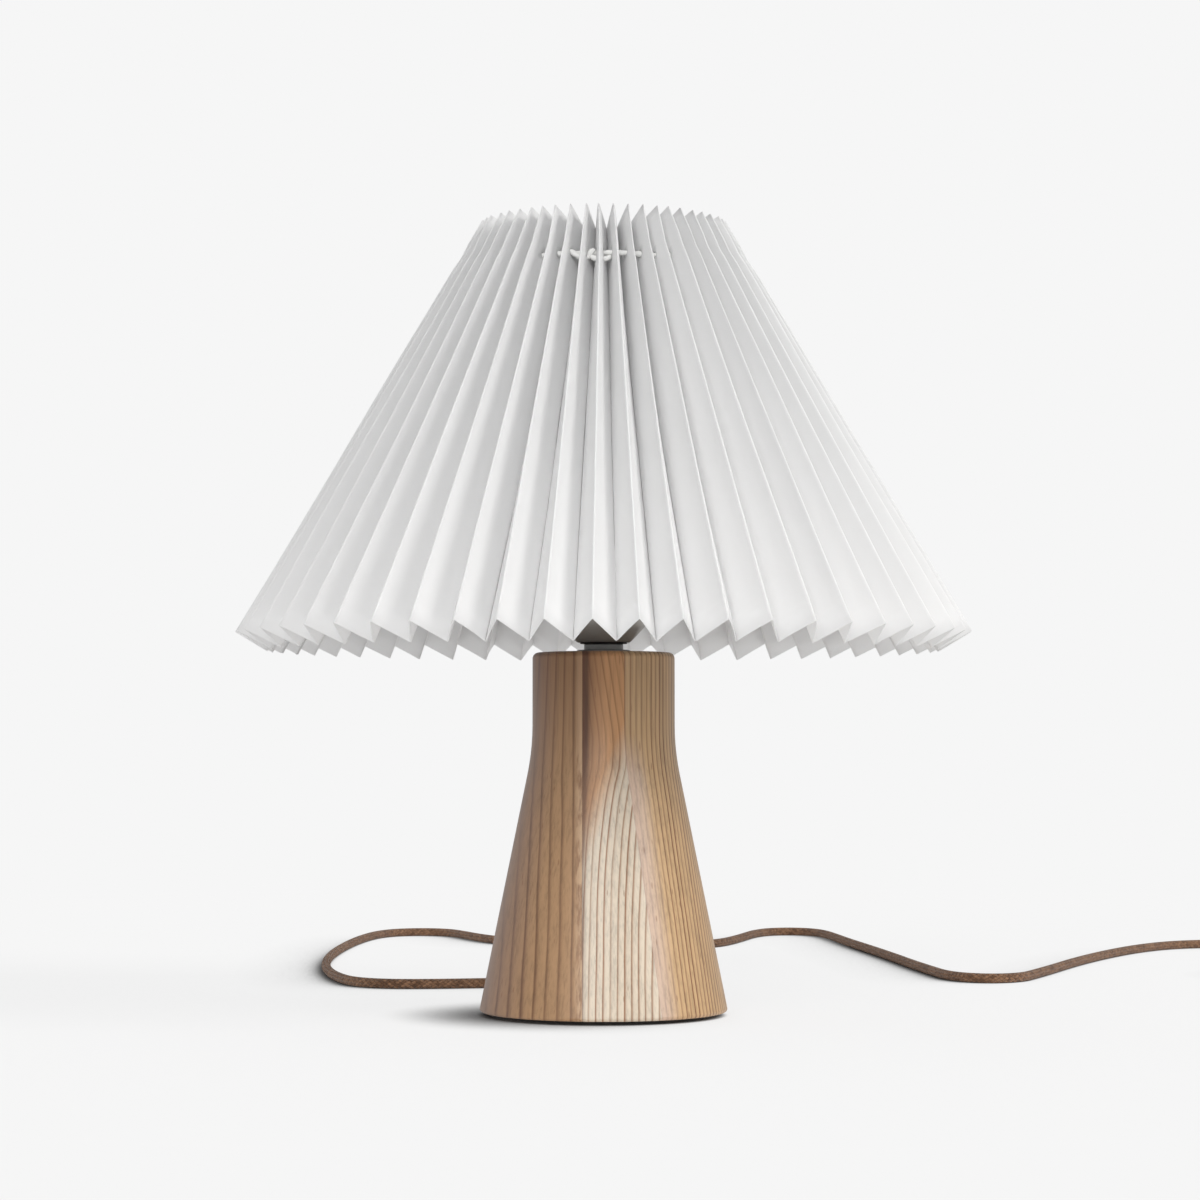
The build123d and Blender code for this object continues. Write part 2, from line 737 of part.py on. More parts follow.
with BuildPart() as pleated_shade:
    with BuildSketch(Plane.XY.offset(star_bottom)) as low_star:
        Polygon(*pleat_star(star_bottom), align=None)
    with BuildSketch(Plane.XY.offset(star_top)) as high_star:
        Polygon(*pleat_star(star_top), align=None)
    loft(sections=[low_star.sketch, high_star.sketch], ruled=True)
    with BuildSketch(Plane.XY.offset(star_bottom)) as low_inner:
        Polygon(*pleat_star(star_bottom), align=None)
        offset(amount=-paper_thickness, kind=Kind.INTERSECTION, mode=Mode.REPLACE)
    with BuildSketch(Plane.XY.offset(star_top)) as high_inner:
        Polygon(*pleat_star(star_top), align=None)
        offset(amount=-paper_thickness, kind=Kind.INTERSECTION, mode=Mode.REPLACE)
    loft(sections=[low_inner.sketch, high_inner.sketch], ruled=True, mode=Mode.SUBTRACT)
    with BuildSketch(Plane.XZ) as kept:
        with BuildLine():
            Polyline(
                (shade_hem_radius + cut_reach * slant_in[0], shade_hem_height + cut_reach * slant_in[1]),
                (shade_hem_radius - hem_depth * slant_in[0], shade_hem_height - hem_depth * slant_in[1]),
                (shade_top_radius - top_depth * slant_in[0], shade_top_height - top_depth * slant_in[1]),
                (shade_top_radius + cut_reach * slant_in[0], shade_top_height + cut_reach * slant_in[1]),
                close=True,
            )
        make_face()
    revolve(kept.sketch, axis=Axis.Z, mode=Mode.INTERSECT)
    with BuildSketch(Plane.XZ) as punch:
        with Locations((lace_circle, lace_height)):
            Circle(lace_radius + lace_hole_clearance)
    revolve(punch.sketch, axis=Axis.Z, mode=Mode.SUBTRACT)
pleated_shade.part.label = "pleated_shade"
export_step(pleated_shade.part, "parts/pleated_shade.step")
print(f"shade: slant {math.degrees(shade_slant):.1f} degrees, inner folds {hem_valley_radius:.1f} at the hem"
      f" and {top_valley_radius:.1f} at the top, height {hem_valley_height:.1f} to {shade_top_height:.1f}")

with BuildPart() as lacing_cord:
    with BuildSketch(Plane.XZ) as section:
        with Locations((lace_circle, lace_height)):
            Circle(lace_radius)
    revolve(section.sketch, axis=Axis.Z)
lacing_cord.part.label = "lacing_cord"
export_step(lacing_cord.part, "parts/lacing_cord.step")

# The carrier: a wire ring that the paper's inner folds rest on, three wire
# arms, and a flat ring that sits on the lampholder's shoulder.
carrier_height = shade_top_height - carrier_below_top
carrier_radius = paper_back(carrier_height + carrier_wire) - carrier_clearance - carrier_wire
with BuildPart() as carrier_ring:
    with BuildSketch(Plane.XZ) as section:
        with Locations((carrier_radius, carrier_height)):
            Circle(carrier_wire)
    revolve(section.sketch, axis=Axis.Z)
carrier_ring.part.label = "carrier_ring"
export_step(carrier_ring.part, "parts/carrier_ring.step")

with BuildPart() as carrier_fitter:
    ring(seat_height, fitter_top, fitter_outer_radius, fitter_inner_radius)
carrier_fitter.part.label = "carrier_fitter"
export_step(carrier_fitter.part, "parts/carrier_fitter.step")

arm_height = seat_height + fitter_thickness / 2
with BuildPart() as carrier_arms:
    for arm in range(arm_count):
        turn = math.radians(90 + arm * 360 / arm_count)
        across = (math.cos(turn), math.sin(turn))
        arm_line = [
            (fitter_outer_radius, arm_height),
            (arm_radius, arm_height + arm_rise),
            (arm_radius, carrier_height - arm_below_ring),
            (carrier_radius, carrier_height - carrier_wire),
        ]
        with BuildLine() as route:
            FilletPolyline(
                *[(radius * across[0], radius * across[1], height) for radius, height in arm_line],
                radius=arm_bend,
            )
        wire_path = route.wires()[0]
        with BuildSketch(Plane(origin=wire_path @ 0, z_dir=wire_path % 0)) as section:
            Circle(carrier_wire)
        sweep(section.sketch, path=wire_path)
    ring(seat_height - carrier_wire, seat_height + 2 * carrier_wire, fitter_outer_radius, 0,
         mode=Mode.SUBTRACT)
    with BuildSketch(Plane.XZ) as ring_section:
        with Locations((carrier_radius, carrier_height)):
            Circle(carrier_wire)
    revolve(ring_section.sketch, axis=Axis.Z, mode=Mode.SUBTRACT)
carrier_arms.part.label = "carrier_arms"
export_step(carrier_arms.part, "parts/carrier_arms.step")

# ================================================================ cord outlet and wiring
bush_outer_end = bush_seat + bush_flange_thickness
with BuildPart() as cord_bush:
    bar_to_back(bush_inner_end, bush_seat, bush_radius, 0, cord_height)
    bar_to_back(bush_seat, bush_outer_end, bush_flange_radius, 0, cord_height)
    cone_to_back(bush_outer_end, bush_end, bush_relief_big, bush_relief_small, 0, cord_height)
    bar_to_back(bush_inner_end, bush_end, cord_radius + bush_clearance, 0, cord_height,
                mode=Mode.SUBTRACT)
cord_bush.part.label = "cord_bush"
export_step(cord_bush.part, "parts/cord_bush.step")

grip_nut_outer = math.sqrt(recess_radius**2 - grip_nut_corner_radius**2) - bush_clearance
with BuildPart() as cord_grip_nut:
    with BuildSketch(backwards(grip_nut_outer - grip_nut_thickness, 0, cord_height)) as section:
        RegularPolygon(grip_nut_corner_radius, 6)
        Circle(bush_radius + thread_clearance, mode=Mode.SUBTRACT)
    extrude(section.sketch, amount=grip_nut_thickness)
cord_grip_nut.part.label = "cord_grip_nut"
export_step(cord_grip_nut.part, "parts/cord_grip_nut.step")

inner_cord_points = [(0, bush_end, cord_height), (0, 0, cord_height), (0, 0, stem_top)]
with BuildPart() as inner_cord:
    inner_length = cord_tube("inner_cord", inner_cord_points, cord_radius, [inner_cord_bend])
check_volume("inner_cord", inner_cord.part.volume, inner_length, cord_radius)
inner_cord.part.label = "inner_cord"
export_step(inner_cord.part, "parts/inner_cord.step")


def lead_route(side):
    """One insulated lead from the cord's end to its terminal."""
    return [
        (side * lead_spacing, 0, stem_top),
        (side * lead_spacing, 0, stem_top + lead_rise),
        (side * terminal_offset, 0, stem_top + lead_rise),
        (side * terminal_offset, 0, terminal_bottom),
    ]


with BuildPart() as lead_live:
    cord_tube("lead_live", lead_route(-1), lead_radius, [lead_bend, lead_bend])
lead_live.part.label = "lead_live"
export_step(lead_live.part, "parts/lead_live.step")

with BuildPart() as lead_neutral:
    cord_tube("lead_neutral", lead_route(1), lead_radius, [lead_bend, lead_bend])
lead_neutral.part.label = "lead_neutral"
export_step(lead_neutral.part, "parts/lead_neutral.step")

# ================================================================ the free cord
with BuildPart() as cord_run:
    run_length = cord_tube("cord_run", run_points, cord_radius, cord_radii(run_points))
check_volume("cord_run", cord_run.part.volume, run_length, cord_radius)
cord_run.part.label = "cord_run"
export_step(cord_run.part, "parts/cord_run.step")

with BuildPart() as cord_link:
    link_length = cord_tube("cord_link", link_points, cord_radius, cord_radii(link_points))
check_volume("cord_link", cord_link.part.volume, link_length, cord_radius)
cord_link.part.label = "cord_link"
export_step(cord_link.part, "parts/cord_link.step")

with BuildPart() as cord_tail:
    tail_length = cord_tube("cord_tail", tail_points, cord_radius, cord_radii(tail_points))
check_volume("cord_tail", cord_tail.part.volume, tail_length, cord_radius)
cord_tail.part.label = "cord_tail"
export_step(cord_tail.part, "parts/cord_tail.step")

# The put-away coil winds inwards on the table, climbs one layer in the half
# turn where it is narrowest, and winds outwards on top of itself.
coil_step = 2 * cord_radius + coil_gap
coil_quarters = 2 * coil_quarters_in + 2


def coil_station(quarter):
    """Where the coil is after a number of quarter turns, and its direction."""
    narrowest = coil_quarters_in + 1
    radius = coil_outer_radius - (narrowest - abs(quarter - narrowest)) * coil_step / 4
    climbed = min(max(quarter - coil_quarters_in, 0), 2) / 2
    angle = -math.pi / 2 * quarter
    place = Vector(
        coil_centre[0] + radius * math.cos(angle),
        coil_centre[1] + radius * math.sin(angle),
        cord_radius + climbed * coil_step,
    )
    rise = coil_step / (math.pi * radius) if quarter == narrowest else 0
    return place, Vector(math.sin(angle), -math.cos(angle), rise).normalized()


def biarc_joint(start, start_way, end, end_way):
    """The point where two arcs from start to end meet, and their direction there."""
    gap = end - start
    ways = start_way + end_way
    spread = 2 * (1 - start_way.dot(end_way))
    if spread < 1e-9:
        reach = gap.dot(gap) / (4 * gap.dot(end_way))
    else:
        reach = (math.sqrt(gap.dot(ways) ** 2 + spread * gap.dot(gap)) - gap.dot(ways)) / spread
    first = start + start_way * reach
    last = end - end_way * reach
    return (first + last) * 0.5, (last - first).normalized()


stations = [coil_station(quarter) for quarter in range(coil_quarters + 1)]
straight_end = 2 * cord_radius
coil_sample_count = 600
coil_sample_apart = 90
with BuildPart() as cord_coil:
    with BuildLine() as route:
        Line(stations[0][0] - stations[0][1] * straight_end, stations[0][0])
        for (start, start_way), (end, end_way) in zip(stations, stations[1:]):
            joint, joint_way = biarc_joint(start, start_way, end, end_way)
            TangentArc(start, joint, tangent=start_way)
            TangentArc(joint, end, tangent=joint_way)
        Line(stations[-1][0], stations[-1][0] + stations[-1][1] * straight_end)
    coil_path = route.wires()[0]
    with BuildSketch(Plane(origin=coil_path @ 0, z_dir=coil_path % 0)) as section:
        Circle(cord_radius)
    sweep(section.sketch, path=coil_path)
    coil_length = coil_path.length
check_volume("cord_coil", cord_coil.part.volume, coil_length, cord_radius)
coil_samples = [coil_path @ (step / coil_sample_count) for step in range(coil_sample_count + 1)]
nearest = min(
    (coil_samples[first] - coil_samples[second]).length
    for first in range(coil_sample_count + 1)
    for second in range(first + coil_sample_apart, coil_sample_count + 1)
)
print(f"cord_coil: {coil_length:.0f} mm, least gap to itself {nearest - 2 * cord_radius:.2f} mm")
cord_coil.part.label = "cord_coil"
export_step(cord_coil.part, "parts/cord_coil.step")

# ================================================================ switch on the cord
switch_x = run_points[-1][0]
switch_back = run_points[-1][1]
switch_front = link_points[0][1]
switch_y = (switch_back + switch_front) / 2
switch_length = switch_back - switch_front
switch_height = 2 * switch_half_height
window_length = rocker_length + 2 * rocker_window_gap
window_width = rocker_width + 2 * rocker_side_gap
screw_places = [
    (switch_x + switch_screw_x, switch_y + switch_screw_y),
    (switch_x - switch_screw_x, switch_y - switch_screw_y),
]
print(f"cord: {inner_length + run_length + switch_length + link_length + coil_length + tail_length:.0f} mm"
      f" in all, {run_length + switch_length + link_length + coil_length + tail_length:.0f} mm of it free")


def switch_outline(height, inset):
    """The switch housing's rounded outline at a height."""
    with BuildSketch(Plane.XY.offset(height)) as section:
        with Locations((switch_x, switch_y)):
            RectangleRounded(switch_width - 2 * inset, switch_length - 2 * inset, switch_end_round - inset)
    return section.sketch


def switch_cord_holes():
    """The two end holes that the leads pass through."""
    bar_to_back(switch_front - cut_margin, switch_back + cut_margin, cord_radius, switch_x,
                switch_half_height, mode=Mode.SUBTRACT)


ear_inside = rocker_width / 2 + ear_gap
with BuildPart() as switch_lower:
    extrude(switch_outline(0, 0), amount=switch_half_height)
    fillet(switch_lower.edges().group_by(Axis.Z)[0], switch_round / 2)
    extrude(switch_outline(switch_wall, switch_wall), amount=switch_half_height, mode=Mode.SUBTRACT)
    for place in screw_places:
        disc(switch_wall / 2, switch_half_height, switch_boss_radius, *place)
    for side in (-1, 1):
        with BuildSketch(Plane.XY.offset(switch_wall / 2)) as ear:
            with Locations((switch_x + side * (ear_inside + ear_thickness / 2), switch_y)):
                Rectangle(ear_thickness, 2 * ear_half_width)
        extrude(ear.sketch, amount=rocker_pivot_height + ear_above_pin - switch_wall / 2)
    with BuildSketch(Plane.YZ.offset(switch_x - switch_width / 2 + switch_wall)) as pin_hole:
        with Locations((switch_y, rocker_pivot_height)):
            Circle(pin_radius + pin_clearance)
    extrude(pin_hole.sketch, amount=switch_width - 2 * switch_wall, mode=Mode.SUBTRACT)
    for place in screw_places:
        disc(0, switch_half_height, switch_screw_radius + pin_clearance, *place, mode=Mode.SUBTRACT)
        disc(0, switch_screw_head_height, switch_screw_head + pin_clearance, *place, mode=Mode.SUBTRACT)
    switch_cord_holes()
switch_lower.part.label = "switch_lower"
export_step(switch_lower.part, "parts/switch_lower.step")

with BuildPart() as switch_upper:
    extrude(switch_outline(switch_half_height, 0), amount=switch_half_height)
    fillet(switch_upper.edges().group_by(Axis.Z)[-1], switch_round)
    extrude(switch_outline(switch_half_height, switch_wall), amount=switch_half_height - switch_wall,
            mode=Mode.SUBTRACT)
    for place in screw_places:
        disc(switch_half_height, switch_height - switch_wall / 2, switch_boss_radius, *place)
        disc(switch_half_height, switch_height - 2 * switch_wall, switch_screw_radius + pin_clearance,
             *place, mode=Mode.SUBTRACT)
    with BuildSketch(Plane.XY.offset(switch_half_height)) as window:
        with Locations((switch_x, switch_y)):
            Rectangle(window_width, window_length)
    extrude(window.sketch, amount=switch_half_height + cut_margin, mode=Mode.SUBTRACT)
    switch_cord_holes()
switch_upper.part.label = "switch_upper"
export_step(switch_upper.part, "parts/switch_upper.step")

tilt = math.radians(rocker_tilt)
rocker_side = Plane(
    origin=(switch_x, switch_y, rocker_pivot_height),
    x_dir=(0, math.cos(tilt), math.sin(tilt)),
    z_dir=(1, 0, 0),
)
with BuildPart() as switch_rocker:
    with BuildSketch(rocker_side) as profile:
        with BuildLine():
            Polyline(
                (-rocker_length / 2, 0),
                (-rocker_length / 2, rocker_end_height),
                (0, rocker_middle_height),
                (rocker_length / 2, rocker_end_height),
                (rocker_length / 2, 0),
                (rocker_foot, -rocker_foot),
                (-rocker_foot, -rocker_foot),
                close=True,
            )
        make_face()
        Circle(pin_radius + pin_clearance, mode=Mode.SUBTRACT)
    extrude(profile.sketch, amount=rocker_width / 2, both=True)
switch_rocker.part.label = "switch_rocker"
export_step(switch_rocker.part, "parts/switch_rocker.step")

pin_half_length = ear_inside + ear_thickness
with BuildPart() as switch_pin:
    with BuildSketch(Plane.YZ.offset(switch_x - pin_half_length)) as section:
        with Locations((switch_y, rocker_pivot_height)):
            Circle(pin_radius)
    extrude(section.sketch, amount=2 * pin_half_length)
switch_pin.part.label = "switch_pin"
export_step(switch_pin.part, "parts/switch_pin.step")

contact_height = switch_half_height - rocker_foot - switch_wall
with BuildPart() as switch_contacts:
    for side in (-1, 1):
        with BuildSketch(Plane.XY.offset(switch_wall)) as post:
            with Locations((switch_x, switch_y + side * switch_contact_y)):
                Rectangle(terminal_size, terminal_size)
        extrude(post.sketch, amount=contact_height)
    with BuildSketch(Plane.XY.offset(switch_wall + contact_height)) as leaf:
        with Locations((switch_x, switch_y + terminal_size / 2)):
            Rectangle(terminal_size, 2 * switch_contact_y)
    extrude(leaf.sketch, amount=contact_thickness)
switch_contacts.part.label = "switch_contacts"
export_step(switch_contacts.part, "parts/switch_contacts.step")

contact_side = switch_contact_y + terminal_size / 2
lead_low = switch_wall + contact_height / 2
through_lead = [
    (switch_x + lead_spacing, switch_back, switch_half_height),
    (switch_x + lead_spacing, switch_y + switch_lead_crossing, switch_half_height),
    (switch_x + switch_lead_side, switch_y + switch_lead_crossing, switch_half_height),
    (switch_x + switch_lead_side, switch_y - switch_lead_turn, switch_half_height),
    (switch_x + lead_spacing, switch_y - switch_lead_turn, switch_half_height),
    (switch_x + lead_spacing, switch_front, switch_half_height),
]
with BuildPart() as switch_leads:
    cord_tube("switch through lead", through_lead, lead_radius, [switch_lead_bend] * 4)
    for side in (-1, 1):
        broken_lead = [
            (switch_x - lead_spacing, switch_y + side * switch_length / 2, switch_half_height),
            (switch_x - lead_spacing, switch_y + side * switch_lead_turn, switch_half_height),
            (switch_x - lead_spacing, switch_y + side * (contact_side + switch_lead_bend * 2), lead_low),
            (switch_x - lead_spacing, switch_y + side * contact_side, lead_low),
        ]
        cord_tube("switch broken lead", broken_lead, lead_radius, [switch_lead_bend] * 2)
switch_leads.part.label = "switch_leads"
export_step(switch_leads.part, "parts/switch_leads.step")

with BuildPart() as switch_screws:
    for place in screw_places:
        disc(switch_screw_sunk, switch_screw_head_height, switch_screw_head, *place)
        disc(switch_screw_head_height, switch_height - 3 * switch_wall, switch_screw_radius, *place)
switch_screws.part.label = "switch_screws"
export_step(switch_screws.part, "parts/switch_screws.step")

# ================================================================ plug
plug_x = tail_points[-1][0]
plug_height = plug_thickness / 2
relief_back = tail_points[-1][1]
plug_back = relief_back - plug_relief_length
plug_face = plug_back - plug_length
with BuildPart() as plug_body:
    with BuildSketch() as outline:
        with BuildLine():
            Polyline(
                (plug_x - plug_back_width / 2, plug_back),
                (plug_x + plug_back_width / 2, plug_back),
                (plug_x + plug_width / 2, plug_back - plug_length / 2),
                (plug_x + plug_width / 2 - plug_face_taper, plug_face),
                (plug_x - plug_width / 2 + plug_face_taper, plug_face),
                (plug_x - plug_width / 2, plug_back - plug_length / 2),
                close=True,
            )
        make_face()
        fillet(outline.vertices().sort_by(Axis.Y)[-4:], plug_outline_round)
    extrude(outline.sketch, amount=plug_thickness)
    fillet(plug_body.edges().group_by(Axis.Z)[-1].sort_by(Axis.Y)[1:], plug_round)
    fillet(plug_body.edges().group_by(Axis.Z)[0].sort_by(Axis.Y)[1:], plug_round)
    for side in (-1, 1):
        bar_to_back(plug_face, plug_face + plug_pin_seat, plug_pin_root_radius,
                    plug_x + side * plug_pin_spacing / 2, plug_height, mode=Mode.SUBTRACT)
    bar_to_back(plug_back - plug_relief_seat, plug_back, plug_relief_big, plug_x, plug_height,
                mode=Mode.SUBTRACT)
plug_body.part.label = "plug_body"
export_step(plug_body.part, "parts/plug_body.step")

with BuildPart() as plug_relief:
    bar_to_back(plug_back - plug_relief_seat, plug_back, plug_relief_big, plug_x, plug_height)
    cone_to_back(plug_back, relief_back, plug_relief_big, plug_relief_small, plug_x, plug_height)
plug_relief.part.label = "plug_relief"
export_step(plug_relief.part, "parts/plug_relief.step")

with BuildPart() as plug_pins:
    for side in (-1, 1):
        bar_to_back(plug_face - plug_pin_length, plug_face - plug_pin_root_shown, plug_pin_radius,
                    plug_x + side * plug_pin_spacing / 2, plug_height)
        bar_to_back(plug_face - plug_pin_root_shown, plug_face + plug_pin_seat, plug_pin_root_radius,
                    plug_x + side * plug_pin_spacing / 2, plug_height)
    chamfer(plug_pins.edges().group_by(Axis.Y)[0], plug_pin_radius / 2)
plug_pins.part.label = "plug_pins"
export_step(plug_pins.part, "parts/plug_pins.step")
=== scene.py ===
# %% [markdown]
# # A pleated paper table lamp
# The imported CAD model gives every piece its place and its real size, in metres, with the lamp's axis on Z
# and the front towards -Y. This notebook dresses it: a folded paper shade, a laminated and turned wooden
# stand, a textile cord, and the metal, plastic and ceramic pieces of the lampholder, bulb, switch and plug.

# %% Load the frame
import math

import bmesh
import bpy
import numpy as np
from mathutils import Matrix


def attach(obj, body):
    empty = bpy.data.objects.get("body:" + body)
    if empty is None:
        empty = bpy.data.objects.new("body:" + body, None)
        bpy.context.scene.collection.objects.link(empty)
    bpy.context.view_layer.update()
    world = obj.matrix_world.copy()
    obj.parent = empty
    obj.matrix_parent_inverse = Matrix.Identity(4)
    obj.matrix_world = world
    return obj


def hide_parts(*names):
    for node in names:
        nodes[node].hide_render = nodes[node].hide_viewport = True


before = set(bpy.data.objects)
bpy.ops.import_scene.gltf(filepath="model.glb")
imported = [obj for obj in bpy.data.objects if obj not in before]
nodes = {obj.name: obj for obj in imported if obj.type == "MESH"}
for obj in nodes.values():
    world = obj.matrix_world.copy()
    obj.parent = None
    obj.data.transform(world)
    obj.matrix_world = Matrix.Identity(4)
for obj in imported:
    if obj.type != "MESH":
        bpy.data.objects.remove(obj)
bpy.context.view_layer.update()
scene = bpy.context.scene
MM = 0.001

# %% [markdown]
# ## The camera
# The photograph is taken from a little below the shade's hem, so the far side of the hem shows under the
# near side, and the table runs up behind the stand. A long lens 1.25 m in front of the lamp and 110 mm
# above the table gives that view. It is tipped up by the angle that puts the horizon where the photograph
# has it.

# %% Camera
camera_distance = 1.25
camera_height = 0.110
photo_width = 1200.0
photo_scale = 0.408 * MM  # metres for each pixel of the photograph, at the lamp's axis
focal_pixels = camera_distance / photo_scale
horizon_row = 743.4
axis_column = 603.6

camera_data = bpy.data.cameras.new("camera")
camera = bpy.data.objects.new("camera", camera_data)
scene.collection.objects.link(camera)
camera_data.sensor_width = 36.0
camera_data.lens = focal_pixels / photo_width * camera_data.sensor_width
pitch = math.atan((horizon_row - photo_width / 2) / focal_pixels)
yaw = math.atan((axis_column - photo_width / 2) / focal_pixels)
camera.location = (0.0, -camera_distance, camera_height)
camera.rotation_euler = (math.pi / 2 + pitch, 0.0, yaw)
scene.camera = camera
print(f"lens {camera_data.lens:.1f} mm, tipped up {math.degrees(pitch):.2f} degrees")

# %% [markdown]
# ## Helpers for worked-out surfaces
# Every new piece is a grid of points: rows go one way over the surface and columns the other. Whole arrays
# of numbers are worked out at once and handed to the mesh, which is quick and keeps each formula in sight.

# %% Grids and meshes
def grid_faces(rows, columns):
    """The four corners of each cell of a grid of points whose last column joins the first."""
    row, column = np.meshgrid(np.arange(rows - 1), np.arange(columns), indexing="ij")
    after = (column + 1) % columns
    corners = (row * columns + column, row * columns + after,
               (row + 1) * columns + after, (row + 1) * columns + column)
    return np.stack(corners, axis=-1).reshape(-1, 4)


def mesh_object(name, points, faces, body, uv=None):
    """A mesh from an array of points and an array of corners, riding on a body of the lamp."""
    used = np.unique(faces)
    place = np.full(len(points), -1)
    place[used] = np.arange(len(used))
    mesh = bpy.data.meshes.new(name)
    mesh.from_pydata(points[used].tolist(), [], place[faces].tolist())
    if uv is not None:
        layer = mesh.uv_layers.new(name="UVMap")
        layer.data.foreach_set("uv", uv.reshape(-1).astype(np.float32))
    work = bmesh.new()
    work.from_mesh(mesh)
    bmesh.ops.remove_doubles(work, verts=work.verts, dist=1e-6)
    bmesh.ops.recalc_face_normals(work, faces=work.faces)
    work.to_mesh(mesh)
    work.free()
    mesh.polygons.foreach_set("use_smooth", np.ones(len(mesh.polygons), bool))
    piece = bpy.data.objects.new(name, mesh)
    scene.collection.objects.link(piece)
    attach(piece, body)
    return piece


def turned(name, profile, body, sides=96, thread=None):
    """A profile of radius and height turned about the lamp's axis.

    A thread moves each point out and in by depth times the cosine of its height over the pitch, less its
    share of a turn, between two heights, so its crests climb as a screw's do."""
    profile = np.asarray(profile, float)
    angle = np.linspace(0, 2 * np.pi, sides, endpoint=False)
    radius = np.repeat(profile[:, :1], sides, axis=1)
    height = np.repeat(profile[:, 1:2], sides, axis=1)
    if thread:
        pitch_length, depth, low, high = thread
        wave = 0.5 - 0.5 * np.cos(2 * np.pi * height / pitch_length - angle[None, :])
        fade = np.clip((height - low) / pitch_length, 0, 1) * np.clip((high - height) / pitch_length, 0, 1)
        radius = radius - depth * wave * fade * (radius > 2 * depth)
    points = np.stack((radius * np.cos(angle), radius * np.sin(angle), height), axis=-1).reshape(-1, 3)
    return mesh_object(name, points, grid_faces(len(profile), sides), body)


def swept(name, path, radius, body, slot, sides=20, up=(0, 0, 1), ply=0, twist=0.0, depth=0.0):
    """A round section carried along a path, with its UV in metres along and in turns around.

    The section's two directions come from the path's own direction and one fixed direction. With ply, the
    radius has that many lobes, turned along the path by twist turns for each metre."""
    path = np.asarray(path, float)
    along = np.gradient(path, axis=0)
    along /= np.linalg.norm(along, axis=1, keepdims=True)
    side = np.cross(along, np.asarray(up, float))
    side /= np.linalg.norm(side, axis=1, keepdims=True)
    over = np.cross(side, along)
    step = np.linalg.norm(np.diff(path, axis=0), axis=1)
    length = np.concatenate(([0.0], np.cumsum(step)))
    angle = np.linspace(0, 2 * np.pi, sides, endpoint=False)
    size = np.broadcast_to(np.asarray(radius, float).reshape(-1, 1), (len(path), sides)).copy()
    if ply:
        size += depth * np.cos(ply * angle[None, :] - 2 * np.pi * twist * length[:, None])
    points = (path[:, None, :] + size[..., None] * (np.cos(angle)[None, :, None] * side[:, None, :]
                                                    + np.sin(angle)[None, :, None] * over[:, None, :]))
    faces = grid_faces(len(path), sides)
    turn = np.arange(sides) / sides
    uv_cells = np.zeros((len(path) - 1, sides, 4, 2))
    uv_cells[:, :, 0, 0] = uv_cells[:, :, 3, 0] = turn[None, :]
    uv_cells[:, :, 1, 0] = uv_cells[:, :, 2, 0] = turn[None, :] + 1 / sides
    uv_cells[:, :, 0, 1] = uv_cells[:, :, 1, 1] = length[:-1, None]
    uv_cells[:, :, 2, 1] = uv_cells[:, :, 3, 1] = length[1:, None]
    return mesh_object(name, points.reshape(-1, 3), faces, body, uv=uv_cells)


# %% [markdown]
# ## The cord's line
# The cord is a soft woven lead 4.4 mm thick. It leaves the stand at the back, swings out into the loose
# loop that shows at the left, comes back behind the stand, and goes off to the right over the table, through
# a small switch, into a coil of two layers and on to the plug. Its line is one smooth curve through
# listed points. They keep to the CAD tubes within 9 mm, moved to where the photograph has the cord.

# %% Cord points
cord_radius = 2.2 * MM
run_points = [
    (0.0, 72.0, 10.0), (0.0, 92.0, 10.0), (-4.0, 115.0, 4.4), (-20.0, 133.0, 2.2), (-46.0, 139.0, 2.2),
    (-73.0, 132.0, 2.2), (-97.0, 131.0, 2.2), (-113.5, 144.0, 2.2), (-122.5, 170.0, 2.2),
    (-130.0, 205.0, 2.2), (-136.0, 252.0, 2.2), (-139.0, 310.0, 2.2), (-138.5, 368.0, 2.2),
    (-136.0, 421.0, 2.2), (-132.0, 462.0, 2.2), (-126.5, 491.0, 2.2), (-117.5, 506.5, 2.2),
    (-102.0, 512.0, 2.2), (-87.0, 504.0, 2.2), (-78.0, 483.0, 2.2), (-69.5, 460.0, 2.2),
    (-56.0, 434.0, 2.2), (-28.0, 414.0, 2.2), (12.0, 393.0, 2.2), (44.0, 394.0, 2.2), (62.0, 412.0, 2.2),
    (71.0, 438.0, 2.2), (78.5, 467.0, 2.2), (85.0, 494.0, 2.2), (94.0, 512.5, 2.2), (109.0, 518.0, 2.2),
    (121.5, 507.0, 2.2), (126.5, 485.5, 2.2), (129.5, 456.0, 2.2), (133.5, 416.0, 2.2),
    (140.0, 362.0, 2.2), (146.5, 303.0, 2.2), (151.5, 250.0, 2.2), (156.0, 212.0, 2.2),
    (159.5, 184.5, 2.2), (167.5, 168.0, 2.2), (181.0, 163.0, 2.2), (193.5, 171.5, 2.2),
    (201.5, 190.0, 2.2), (214.0, 221.0, 2.2), (233.0, 271.0, 2.2), (257.0, 325.0, 2.2),
    (281.0, 370.0, 2.2), (305.0, 400.0, 2.2), (334.0, 411.0, 2.2), (358.0, 401.0, 3.4),
    (368.0, 374.0, 9.0), (368.0, 352.0, 9.0),
]
switch_points = [(368.0, 331.0, 9.0), (368.0, 311.0, 9.0)]
link_points = [
    (368.0, 290.0, 9.0), (368.0, 272.0, 9.0), (367.6, 252.0, 4.8), (367.0, 231.0, 2.2),
    (367.0, 216.0, 2.2),
]
tail_points = [
    (367.0, 197.2, 7.15), (367.0, 184.0, 7.15), (366.0, 164.0, 3.2), (364.0, 143.0, 2.2),
    (361.5, 122.0, 3.6), (361.0, 102.0, 6.85), (361.0, 84.0, 6.85),
]

# %% [markdown]
# The coil is the put-away part. It winds inwards on the table, climbs one layer in the half turn where it
# is narrowest, and winds outwards again on top of itself. Twelve points make each turn.

